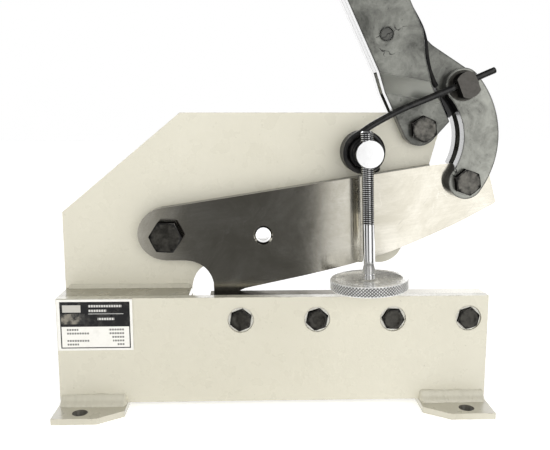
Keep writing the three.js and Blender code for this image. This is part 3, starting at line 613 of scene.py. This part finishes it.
# A much paler copy of the cream paint: painted light in the bolts' pockets.
SEAT_PAINT_LIT = cream_paint("seat_enamel_lit", (0.90, 0.89, 0.82), (0.84, 0.82, 0.73))
WEB_PAINT = cream_paint("shaded_enamel", (0.47, 0.44, 0.34), (0.36, 0.335, 0.25), 0.5)
BLADE_STEEL = ground_steel(
    "blade_steel", (0.57, 0.54, 0.455), (0.78, 0.75, 0.665), "Z", math.radians(8.7))
BED_STEEL = ground_steel(
    "bed_steel", (0.12, 0.112, 0.095), (0.36, 0.345, 0.31), "X", grazing=0.4, shine="lower_blade")
IRON = black_iron("oiled_plate", (0.075, 0.076, 0.066), (0.31, 0.315, 0.28))
LINK_IRON = black_iron("oiled_link", (0.13, 0.131, 0.115), (0.42, 0.425, 0.38))
CORE_IRON = black_iron(
    "oiled_core", (0.085, 0.086, 0.075), (0.31, 0.315, 0.28), 0.34, shade_below=CORE_SHADE_BELOW)
HANDLE_IRON = black_iron(
    "handle_enamel", (0.05, 0.05, 0.046), (0.17, 0.172, 0.155), edge=0.6, black_sides=False)
RIVET_IRON = black_iron("rivet_iron", (0.05, 0.05, 0.045), (0.15, 0.15, 0.135), 0.4)
OXIDE = black_oxide("black_oxide", (0.026, 0.024, 0.020), (0.075, 0.071, 0.060), 0.34, 0.7)
WORN_OXIDE = black_oxide("worn_oxide", (0.05, 0.048, 0.042), (0.21, 0.20, 0.175), 0.34, 0.9)
STUD_OXIDE = black_oxide("eye_oxide", (0.075, 0.07, 0.062), (0.13, 0.122, 0.11), 0.42, 0.3)
SPRING = spring_black("spring_wire", 0.12, 0.2)
# Black for pieces that stand partly for shade: the stud's sleeve, the lever's front washer and the bead
# along the cheek.
SHADE_BLACK = spring_black("shade_black", 0.6, 0.0)
CHROME = bright_chrome("bright_plating", (0.90, 0.90, 0.90), (0.72, 0.71, 0.68), rough=0.03)
KNURLED = bright_chrome(
    "knurled_plating", (0.90, 0.895, 0.87), (0.70, 0.69, 0.66), rough=0.22, metallic=0.5)
STUD_CHROME = bright_chrome("stud_plating", (0.95, 0.95, 0.95), (0.86, 0.86, 0.85), STUD_SHADE_FROM)
RUBBER = grip_rubber()
LABEL = printed_label()
FLOOR = floor_paper()
SLOT_MATERIAL = {
    "cream_paint": PAINT,
    "ground_steel": BLADE_STEEL,
    "black_enamel": IRON,
    "black_fastener": OXIDE,
    "spring_steel": SPRING,
    "chrome_plate": CHROME,
    "rubber": RUBBER,
    "label": LABEL,
}
SPECIAL_MATERIAL = {
    "holddown_stud": STUD_CHROME,
    # Black, partly painted shade round the lever bolt.
    "lever_washer_front": SHADE_BLACK,
    "lower_blade": BED_STEEL,
    "web_plate": WEB_PAINT,
    "foot_left": FOOT_PAINT_SHADED,
    "foot_right": FOOT_PAINT_SHADED,
    "frame_plate": FRAME_PAINT_LIT,
    "lever_core": CORE_IRON,
    "link_front": LINK_IRON,
    "link_rear": LINK_IRON,
    "handle_tube": HANDLE_IRON,
    "lever_rivet_1": RIVET_IRON,
    "lever_rivet_2": RIVET_IRON,
    "eye_stud": STUD_OXIDE,
}


# ---- Mesh helpers ----
def new_mesh(name, verts, faces, finish):
    """A mesh object in the scene, from vertices and faces."""
    data = bpy.data.meshes.new(name)
    data.from_pydata([tuple(v) for v in verts], [], faces)
    data.validate()
    data.materials.append(finish)
    made = bpy.data.objects.new(name, data)
    bpy.context.scene.collection.objects.link(made)
    return made


def mesh_piece(name, verts, faces, body, finish, slot, *replaced):
    """A piece that rides on a body, smooth except at sharp edges."""
    piece = new_mesh(name, verts, faces, finish)
    smooth_sharp(piece)
    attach(piece, body)
    if replaced:
        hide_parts(*replaced)
    return piece


def mark_cut_shade(piece, depths):
    """How deep each vertex lies in a thread, a knurl or past a corner, from 0 to 1. It darkens the colour
    there: painted shade.
    """
    layer = piece.data.attributes.new("cut", "FLOAT", "POINT")
    layer.data.foreach_set("value", depths)


def smooth_sharp(piece, angle=math.radians(32)):
    """Smooth shading, except across edges sharper than the angle."""
    data = piece.data
    data.polygons.foreach_set("use_smooth", [True] * len(data.polygons))
    data.set_sharp_from_angle(angle=angle)


def spun(profile, sides, place, hollow=False):
    """Vertices and faces of a body round local Z. A profile entry is (radius, height) or a function of
    the angle that gives them; place is the matrix to the row frame. A hollow body's profile closes on
    itself, and any other body is closed at its two ends."""
    verts, faces = [], []
    for entry in profile:
        for i in range(sides):
            angle = 2 * math.pi * i / sides
            radius, height = entry(angle) if callable(entry) else entry
            verts.append(place @ Vector((radius * math.cos(angle), radius * math.sin(angle), height)))
    for ring in range(len(profile) - 1):
        for i in range(sides):
            j = (i + 1) % sides
            a, b = ring * sides, (ring + 1) * sides
            faces.append((a + i, a + j, b + j, b + i))
    last = (len(profile) - 1) * sides
    if hollow:
        for i in range(sides):
            j = (i + 1) % sides
            faces.append((last + i, last + j, j, i))
    else:
        faces.append(tuple(reversed(range(sides))))
        faces.append(tuple(range(last, last + sides)))
    return verts, faces


def hex_radius(flats, angle):
    """From the middle of a hexagon to its side, by angle."""
    sector = math.pi / 3
    within = angle % sector - sector / 2
    return flats / 2 / math.cos(within)


def hex_ring(flats, share, top, outward):
    """One ring of a chamfered hexagon's end: share of the way out, sloping off past the chamfer circle."""
    chamfer = 0.475 * flats
    slope = math.tan(math.radians(30))

    def ring(angle):
        radius = share * hex_radius(flats, angle)
        return radius, top - outward * max(0.0, radius - chamfer) * slope

    return ring


def thread_ring(radius, height, pitch, depth):
    """A ring of a screw thread: the radius rises and falls once in each turn."""

    def ring(angle):
        phase = (height / pitch - angle / (2 * math.pi)) % 1.0
        ridge = 1 - abs(2 * phase - 1)
        return radius - depth * (1 - min(1.0, 1.25 * ridge)), height

    return ring


def threaded(radius, start, end, pitch):
    """The rings of a screw thread between two heights."""
    depth = THREAD_DEPTH * pitch
    steps = max(4, int(abs(end - start) / pitch * THREAD_STEPS))
    heights = [start + (end - start) * i / steps for i in range(steps + 1)]
    return [thread_ring(radius, height, pitch, depth) for height in heights]


def bolt_place(x, y, z, turn=0.0):
    """Local +Z to the row frame's +Y: bolts run back from their heads."""
    back = Matrix.Rotation(-math.pi / 2, 4, "X")
    return Matrix.Translation((x, y, z)) @ back @ Matrix.Rotation(turn, 4, "Z")


def axis_place(origin, up):
    """Local +Z along a direction of the row frame."""
    return Matrix.Translation(origin) @ up.to_track_quat("Z", "Y").to_matrix().to_4x4()


def centre_of(node):
    low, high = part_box(node)
    return (low + high) / 2


def tube_mesh(points, radius, sides):
    """A closed round wire along the points, with rounded ends."""
    path = [Vector(p) for p in points]
    tangents = []
    for i in range(len(path)):
        before, after = path[max(0, i - 1)], path[min(len(path) - 1, i + 1)]
        tangents.append((after - before).normalized())
    normal = tangents[0].orthogonal().normalized()
    rings = []
    for i, point in enumerate(path):
        normal = (normal - tangents[i] * normal.dot(tangents[i])).normalized()
        rings.append((point, tangents[i], normal, tangents[i].cross(normal), radius))
    first, last = rings[0], rings[-1]
    for share in (0.35, 0.75):
        shrink = radius * math.sqrt(1 - share * share)
        reach = radius * 0.5 * share
        rings.insert(0, (first[0] - first[1] * reach, *first[1:4], shrink))
        rings.append((last[0] + last[1] * reach, *last[1:4], shrink))
    verts, faces = [], []
    for centre, _, side, up, size in rings:
        for k in range(sides):
            angle = 2 * math.pi * k / sides
            verts.append(centre + side * (size * math.cos(angle)) + up * (size * math.sin(angle)))
    for r in range(len(rings) - 1):
        for k in range(sides):
            n = (k + 1) % sides
            faces.append((r * sides + k, r * sides + n, (r + 1) * sides + n, (r + 1) * sides + k))
    faces.append(tuple(reversed(range(sides))))
    faces.append(tuple(range((len(rings) - 1) * sides, len(rings) * sides)))
    return verts, faces


def smooth_path(points, per_span):
    """A Catmull-Rom curve through the points."""
    pts = [Vector(p) for p in points]
    pts = [2 * pts[0] - pts[1], *pts, 2 * pts[-1] - pts[-2]]
    out = []
    for i in range(1, len(pts) - 2):
        a, b, c, d = pts[i - 1:i + 3]
        for k in range(per_span):
            t = k / per_span
            square = (2 * a - 5 * b + 4 * c - d) * t * t
            cube = (3 * b - a - 3 * c + d) * t ** 3
            out.append(0.5 * (2 * b + (c - a) * t + square + cube))
    out.append(pts[-2])
    return out


# ---- CAD nodes that stay ----
def dress_cad_nodes():
    """Gives each CAD node its look, and rounds its edges."""
    slots = {row["node"]: row["material_slot"] for row in frame["record"]["subparts"]}
    for name, node in NODES.items():
        node.data.materials.clear()
        node.data.materials.append(SPECIAL_MATERIAL.get(name, SLOT_MATERIAL[slots[name]]))
        node.data.polygons.foreach_set("use_smooth", [True] * len(node.data.polygons))
        if "custom_normal" in node.data.attributes:
            node.data.attributes.remove(node.data.attributes["custom_normal"])
        weld = node.modifiers.new("weld", "WELD")
        weld.merge_threshold = MERGE_DISTANCE
        flat = node.modifiers.new("flat", "DECIMATE")
        flat.decimate_type = "DISSOLVE"
        flat.angle_limit = FLAT_ANGLE
        bevel = node.modifiers.new("edges", "BEVEL")
        bevel.width = EYE_ROUND if name == "eye_stud" else EDGE_ROUND
        bevel.segments = 3 if name == "eye_stud" else 2
        bevel.limit_method = "ANGLE"
        bevel.angle_limit = EDGE_ANGLE
        bevel.harden_normals = True


# ---- Fasteners ----
def hex_bolt(node, flats, head, radius, pitch, threads, turn, finish):
    """A forged hexagon bolt: dished, chamfered head, washer face, plain shank, threaded end."""
    low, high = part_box(node)
    mid = centre_of(node)
    length = high.y - low.y
    dish, washer_face, under, tip = 0.35 * MM, 0.35 * MM, 0.5 * MM, 1.2 * MM
    profile = [
        (0.5 * NEAR_AXIS, dish), (0.20 * flats, dish), (0.30 * flats, 0.30 * MM), (0.36 * flats, 0.0),
        hex_ring(flats, 0.86, 0.0, -1), hex_ring(flats, 0.95, 0.0, -1), hex_ring(flats, 1.0, 0.0, -1),
        hex_ring(flats, 1.0, head - under, 0), hex_ring(flats, 0.985, head - washer_face, 0),
        (0.47 * flats, head - washer_face), (0.47 * flats, head), (radius, head), (radius, length - threads),
    ]
    profile += threaded(radius, length - threads, length - tip, pitch)
    profile += [(radius - 0.9 * MM, length), (0.5 * NEAR_AXIS, length)]
    verts, faces = spun(profile, ROUND_SIDES, bolt_place(mid.x, low.y, mid.z, turn))
    body = NODES[node]["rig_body"]
    piece = mesh_piece(node + "_fine", verts, faces, body, finish, "black_fastener", node)
    reach = [math.hypot(v.x - mid.x, v.z - mid.z) / flats for v in verts]
    mark_cut_shade(piece, [min(1.0, max(0.0, (r - 0.465) / 0.02)) for r in reach])


def hex_nut(node, flats, bore, turn):
    """A hexagon nut, chamfered on both faces, open through the middle."""
    low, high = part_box(node)
    mid = centre_of(node)
    height = high.y - low.y
    chamfer = 0.6 * MM
    profile = [
        (bore, chamfer), (bore + chamfer, 0.0), (0.42 * flats, 0.0),
        hex_ring(flats, 0.93, 0.0, -1), hex_ring(flats, 1.0, 0.0, -1),
        hex_ring(flats, 1.0, height, 1), hex_ring(flats, 0.93, height, 1),
        (0.42 * flats, height), (bore + chamfer, height), (bore, height - chamfer),
    ]
    verts, faces = spun(profile, ROUND_SIDES, bolt_place(mid.x, low.y, mid.z, turn), hollow=True)
    mesh_piece(node + "_fine", verts, faces, NODES[node]["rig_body"], OXIDE, "black_fastener", node)


def build_fasteners():
    """The bolts and nuts, each in place of its plain CAD node."""
    for node, flats, head, radius, pitch, threads, turn in BOLTS:
        finish = WORN_OXIDE if node in WORN_BOLTS else OXIDE
        hex_bolt(node, flats * MM, head * MM, radius * MM, pitch * MM, threads * MM, turn, finish)
    for node, flats, bore, turn in NUTS:
        hex_nut(node, flats * MM, bore * MM, turn)


def build_bolt_seats():
    """Thick paint round each bed bolt's head, filling its pocket up to a thin gap; its much paler colour is
    painted light.
    """
    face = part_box("front_plate")[0].y

    def inner_ring(height):
        return lambda angle: (hex_radius(SEAT_FLATS, angle), height)

    profile = [
        inner_ring(0.2 * MM), (SEAT_CREST, 0.0), (SEAT_RADIUS, SEAT_ROUND), (SEAT_RADIUS, SEAT_DEPTH),
        inner_ring(SEAT_DEPTH),
    ]
    for i, (node, *_, turn) in enumerate(row for row in BOLTS if row[0].startswith("blade_bolt")):
        mid = centre_of(node)
        place = bolt_place(mid.x, face + SEAT_SUNK, mid.z, turn)
        verts, faces = spun(profile, ROUND_SIDES, place, hollow=True)
        mesh_piece(f"bolt_seat_{i + 1}", verts, faces, "frame", SEAT_PAINT_LIT, "cream_paint")


# ---- Hold-down ----
def holddown_place():
    """Local Z along the leaning screw, with its origin at the foot of the screw's axis."""
    foot = centre_of("holddown_disk")
    base = Vector((foot.x, centre_of("holddown_screw").y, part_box("holddown_disk")[0].z))
    return axis_place(base, Vector(JOINTS["holddown_feed"]["axis"]))


def from_axis(place, verts):
    """Each vertex's distance from the axis of its place, and its height along it."""
    to_local = place.inverted()
    found = [to_local @ vert for vert in verts]
    return [(math.hypot(local.x, local.y), local.z) for local in found]


def build_screw(place):
    """The screw: a foot with a neck, a plain shank, and the thread above it."""
    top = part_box("holddown_screw")[1].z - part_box("holddown_disk")[0].z
    end = top - 0.1 * MM
    profile = [
        (NEAR_AXIS, SCREW_FOOT), (SCREW_FOOT_RADIUS, SCREW_FOOT),
        (SCREW_FOOT_RADIUS, SCREW_NECK - 0.5 * MM), (SCREW_NECK_RADIUS, SCREW_NECK),
        (SCREW_FOOT_RADIUS, SCREW_NECK + 0.5 * MM), (SCREW_PLAIN_RADIUS, SCREW_NECK + 1.1 * MM),
        (SCREW_PLAIN_RADIUS, SCREW_PLAIN_END),
    ]
    profile += threaded(SCREW_RADIUS, SCREW_PLAIN_END, top - 1.2 * MM, SCREW_PITCH)
    profile += [(SCREW_RADIUS - 1.1 * MM, end), (NEAR_AXIS, end)]
    verts, faces = spun(profile, SCREW_SIDES, place)
    screw = mesh_piece(
        "holddown_screw_fine", verts, faces, "holddown", CHROME, "chrome_plate", "holddown_screw")
    cut_shade = []
    for reach, height in from_axis(place, verts):
        on_thread = SCREW_PLAIN_END < height < top - 1.3 * MM
        cut_shade.append(min(1.0, (SCREW_RADIUS - reach) / THREAD_CUT) if on_thread else 0.0)
    mark_cut_shade(screw, cut_shade)


def knurl_ring(height):
    """One ring of the disk's rim: two sets of slanting grooves that cross, fading out at its borders."""
    border = min(1.0, (height - DISK_BOTTOM) / KNURL_BORDER, (DISK_TOP - height) / KNURL_BORDER)
    climb = (height - DISK_BOTTOM) / KNURL_CLIMB

    def ring(angle):
        turn = KNURL_COUNT * angle / (2 * math.pi)
        one = abs(2 * ((turn + climb) % 1.0) - 1)
        other = abs(2 * ((turn - climb) % 1.0) - 1)
        groove = max(0.0, 1 - min(one, other) / KNURL_WIDTH)
        return DISK_RADIUS - KNURL_DEPTH * (groove * border + 1 - border), height

    return ring


def build_disk(place):
    """The disk: flat below, knurled round its rim, dished on top."""
    step = (DISK_TOP - DISK_BOTTOM) / KNURL_ROWS
    profile = [(NEAR_AXIS, DISK_BOTTOM), (DISK_RADIUS - 1.2 * MM, DISK_BOTTOM)]
    profile += [knurl_ring(DISK_BOTTOM + step * i) for i in range(KNURL_ROWS + 1)]
    profile += [(radius * MM, DISK_TOP - depth * MM) for radius, depth in DISK_DISH]
    profile.append((NEAR_AXIS, DISK_TOP - DISK_DISH_DEPTH))
    verts, faces = spun(profile, 6 * KNURL_COUNT, place)
    disk = mesh_piece(
        "holddown_disk_fine", verts, faces, "holddown", KNURLED, "chrome_plate", "holddown_disk")
    cut_shade = []
    for reach, height in from_axis(place, verts):
        between = DISK_BOTTOM + KNURL_BORDER < height < DISK_TOP - KNURL_BORDER
        on_rim = between and reach > DISK_RADIUS - 1 * MM
        cut_shade.append(min(1.0, 1.5 * (DISK_RADIUS - reach) / KNURL_CUT) if on_rim else 0.0)
    mark_cut_shade(disk, cut_shade)


def build_stud_sleeve():
    """The tube on the stud that the spring is wound over, black as painted shade inside the coil."""
    front = STUD_SHADE_FROM + 1 * MM
    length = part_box("frame_plate")[0].y - 0.3 * MM - front
    profile = [
        (SLEEVE_INNER, 0.0), (SLEEVE_OUTER - SLEEVE_ROUND, 0.0), (SLEEVE_OUTER, SLEEVE_ROUND),
        (SLEEVE_OUTER, length), (SLEEVE_INNER, length),
    ]
    stud_x, _, stud_z = JOINTS["spring_swing"]["pos_m"]
    verts, faces = spun(profile, TUBE_SIDES, bolt_place(stud_x, front, stud_z), hollow=True)
    mesh_piece("stud_sleeve", verts, faces, "frame", SHADE_BLACK, "black_fastener")


# ---- Return spring ----
def build_spring():
    """One wire: tip, arm through the eye, the turns round the stud, and the leg hooked into the frame."""
    stud_x, _, stud_z = JOINTS["spring_swing"]["pos_m"]
    front_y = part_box("spring_arm")[0].y + WIRE_RADIUS
    rear_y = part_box("spring_coil")[1].y
    back_y = front_y + COIL_DEPTH
    arm = [Vector((stud_x + x * MM, front_y, stud_z + z * MM)) for x, z in WIRE_ARM]
    turns = []
    start, end = COIL_TURN
    count = int((end - start) / COIL_STEP)
    for i in range(count + 1):
        share = i / count
        angle = math.radians(start + share * (end - start))
        across, up = COIL_RADIUS * math.cos(angle), COIL_RADIUS * math.sin(angle)
        turns.append(Vector((stud_x + across, front_y + share * COIL_DEPTH, stud_z + up)))
    below = stud_z - COIL_RADIUS
    leg = [(HOOK_OUT - 5 * MM, 0.4 * MM), (HOOK_OUT - 0.6 * MM, 3 * MM), (HOOK_OUT, 7 * MM)]
    leg = [Vector((stud_x + x, back_y + y, below)) for x, y in leg]
    leg.append(Vector((stud_x + HOOK_OUT, rear_y, below)))
    verts, faces = tube_mesh(smooth_path([*arm, *turns[::2], *leg], 4), WIRE_RADIUS, WIRE_SIDES)
    piece = new_mesh("return_spring", verts, faces, SPRING)
    smooth_sharp(piece, math.radians(60))
    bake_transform(piece)
    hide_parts("spring_coil", "spring_arm")


# ---- Lever ----
def build_grip():
    """A moulded sleeve with ribs round it and a closed, rounded end."""
    up = Vector((-math.sin(LEVER_LEAN), 0, math.cos(LEVER_LEAN)))
    right = Vector((math.cos(LEVER_LEAN), 0, math.sin(LEVER_LEAN)))
    base = Vector(JOINTS["lever_swing"]["pos_m"]) + right * HANDLE_RIGHT
    base.y = centre_of("handle_tube").y
    flange, edge = GRIP_FLANGE, 1 * MM
    outside = [
        (18 * MM, GRIP_START), (flange - edge, GRIP_START), (flange, GRIP_START + edge),
        (flange, GRIP_START + 5 * MM), (flange - edge, GRIP_START + 6 * MM),
        (20.6 * MM, GRIP_START + 8 * MM),
    ]
    ribs_start = GRIP_START + 12 * MM
    ribs_end = ribs_start + RIB_COUNT * RIB_PITCH
    for i in range(RIB_COUNT):
        outside += [(size * MM, ribs_start + (i + share) * RIB_PITCH) for share, size in RIB_SHAPE]
    outside += [
        (19.6 * MM, ribs_end), (20.4 * MM, ribs_end + 2 * MM), (20.4 * MM, GRIP_END - 5 * MM),
        (19.6 * MM, GRIP_END - 2.4 * MM), (17.5 * MM, GRIP_END - 0.8 * MM), (14 * MM, GRIP_END),
        (NEAR_AXIS, GRIP_END),
    ]
    inside = [(NEAR_AXIS, GRIP_BORE_END), (GRIP_BORE, GRIP_BORE_END), (GRIP_BORE, GRIP_START + edge)]
    verts, faces = spun(inside + outside, TUBE_SIDES, axis_place(base, up))
    mesh_piece("handle_grip_fine", verts, faces, "lever", RUBBER, "rubber", "handle_grip")


def build_lever_shade_bead():
    """A black bead along the front cheek's right edge, against the core: a dark piece that stands for the
    deep shade there.
    """
    pivot = Vector(JOINTS["lever_swing"]["pos_m"])
    place = Matrix.Translation(pivot) @ Matrix.Rotation(-LEVER_LEAN, 4, "Y")
    points = [place @ Vector((right * MM, 0, up * MM)) for right, up in SHADE_BEAD_PATH]
    for point in points:
        point.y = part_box("lever_core")[0].y - SHADE_BEAD_PROUD
    verts, faces = tube_mesh(smooth_path(points, 8), SHADE_BEAD_RADIUS, 14)
    mesh_piece("lever_shade_bead", verts, faces, "lever", SHADE_BLACK, "black_enamel")


# ---- Welds ----
def weld_bead(name, start, end, outward, size, seed):
    """A painted fillet between a plate and what it stands on, with the slow waves of a hand weld."""
    rng = random.Random(seed)
    a, b = Vector(start), Vector(end)
    out, up = Vector((0, outward, 0)), Vector((0, 0, 1))
    length = (b - a).length
    steps = int(length / WELD_STEP)
    along = (b - a).normalized()
    verts, faces = [], []
    wander = 0.0
    for i in range(steps + 1):
        s = length * i / steps
        wander = 0.94 * wander + 0.06 * rng.uniform(-1, 1)
        ripple = 1 + 0.008 * math.sin(2 * math.pi * s / WELD_RIPPLE) + 0.35 * wander
        from_end = min(s, length - s) + 0.8 * MM
        taper = math.sqrt(max(0.0, min(1.0, from_end / (2 * MM))))
        here = a + along * s
        for k in range(WELD_SIDES):
            angle = math.pi / 2 * k / (WELD_SIDES - 1)
            hollow = 1 - 0.30 * math.sin(2 * angle)
            radius = size * ripple * taper * hollow
            verts.append(here + out * (radius * math.cos(angle)) + up * (radius * math.sin(angle)))
        verts.append(here - out * WELD_BURIED + up * (size * taper))
        verts.append(here - out * WELD_BURIED - up * WELD_BURIED)
        verts.append(here + out * (size * taper) - up * WELD_BURIED)
    ring = WELD_SIDES + 3
    for i in range(steps):
        for k in range(ring):
            n = (k + 1) % ring
            faces.append((i * ring + k, i * ring + n, (i + 1) * ring + n, (i + 1) * ring + k))
    faces.append(tuple(reversed(range(ring))))
    faces.append(tuple(range(steps * ring, (steps + 1) * ring)))
    piece = mesh_piece(name, verts, faces, "frame", PAINT, "cream_paint")
    smooth_sharp(piece, math.radians(75))


def build_welds():
    """Beads along the feet, in front and behind, and along the top of the web."""
    bed_low, bed_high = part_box("front_plate")
    plate_low, plate_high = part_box("frame_plate")
    web_low, web_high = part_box("web_plate")
    inset = 0.6 * MM
    for side, seed in BED_WELD_SEED.items():
        low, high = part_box("foot_" + side)
        left, right = max(low.x, bed_low.x) + inset, min(high.x, bed_high.x) - inset
        front, back = bed_low.y, plate_high.y
        weld_bead(f"weld_bed_{side}", (left, front, high.z), (right, front, high.z), -1, FOOT_WELD, seed)
        weld_bead(
            f"weld_frame_{side}", (left, back, high.z), (right, back, high.z), 1, FOOT_WELD,
            FRAME_WELD_SEED)
    start = (web_low.x + 2 * MM, plate_low.y, web_high.z)
    weld_bead("weld_web_frame", start, (web_high.x - 1 * MM, *start[1:]), -1, WEB_WELD, WEB_WELD_SEED)


# ---- Studio ----
def build_studio():
    """A pale floor, an even sky that fades overhead, one soft light, and cards for the reflections."""
    bpy.ops.mesh.primitive_grid_add(
        x_subdivisions=8, y_subdivisions=8, size=FLOOR_SIZE, location=FLOOR_PLACE)
    floor = bpy.context.object
    floor.name = "studio_floor"
    floor.data.materials.append(FLOOR)
    floor.visible_glossy = False
    world = bpy.data.worlds.new("studio")
    bpy.context.scene.world = world
    world.use_nodes = True
    sky = world.node_tree
    background = sky.nodes["Background"]
    background.inputs["Color"].default_value = (1, 1, 1, 1)
    height = part_along(sky, put(sky, "ShaderNodeTexCoord").outputs["Generated"], "Z")
    sky.links.new(spread(sky, height, *SKY_FADE, *SKY_GLOW), background.inputs["Strength"])

    light = bpy.data.lights.new("key", "AREA")
    light.shape = "RECTANGLE"
    light.size, light.size_y = KEY_SIZE
    light.energy = KEY_POWER
    lamp = bpy.data.objects.new("key", light)
    lamp.location = KEY_PLACE
    lamp.rotation_euler = (Vector(KEY_TARGET) - Vector(KEY_PLACE)).to_track_quat("-Z", "Y").to_euler()
    bpy.context.scene.collection.objects.link(lamp)
    lamp.visible_glossy = False

    reflector("front_card", -1.2, (-1.6, 2.2), (-3.0, 3.4), front_card_glow)
    reflector("left_flag", -0.55, (-2.4, -0.6), (-2.0, 2.4), lambda tree, across: FLAG_GLOW)
    reflector("right_flag", -0.55, (0.62, 2.6), (-2.0, 2.4), lambda tree, across: FLAG_GLOW)
    reflector("back_card", 1.6, (-2.0, 2.0), (-0.6, 1.8), lambda tree, across: BACK_GLOW)


def front_card_glow(tree, across):
    """Dim in the middle, brighter far to the left, and bright to the right past a soft edge."""
    return plus(tree, *(spread(tree, across, *part) for part in FRONT_GLOW))


def reflector(name, y, across, up, glow):
    """An upright card that only reflections show. The glow is a number or a node's output, by place."""
    (x0, x1), (z0, z1) = across, up
    made = bpy.data.materials.new(name)
    made.use_nodes = True
    tree = made.node_tree
    tree.nodes.remove(tree.nodes["Principled BSDF"])
    place = put(tree, "ShaderNodeTexCoord").outputs["Object"]
    lamp = put(tree, "ShaderNodeEmission", {"Strength": glow(tree, part_along(tree, place, "X"))})
    tree.links.new(lamp.outputs[0], tree.nodes["Material Output"].inputs["Surface"])
    corners = [(x0, y, z0), (x1, y, z0), (x1, y, z1), (x0, y, z1)]
    card = new_mesh(name, corners, [(0, 1, 2, 3)], made)
    card.visible_camera = card.visible_diffuse = card.visible_shadow = card.visible_transmission = False


def build_camera():
    """The photo's own view."""
    data = bpy.data.cameras.new("camera")
    data.lens = CAMERA_LENS
    data.sensor_width = CAMERA_SENSOR
    camera = bpy.data.objects.new("camera", data)
    camera.location = CAMERA_PLACE
    camera.rotation_euler = (math.pi / 2 - CAMERA_PITCH, 0, -CAMERA_YAW)
    bpy.context.scene.collection.objects.link(camera)
    bpy.context.scene.camera = camera
    bpy.context.scene.view_settings.view_transform = "Standard"


build_camera()
dress_cad_nodes()
build_fasteners()
build_bolt_seats()
build_screw(holddown_place())
build_disk(holddown_place())
build_stud_sleeve()
build_spring()
build_grip()
build_welds()
build_lever_shade_bead()
build_studio()
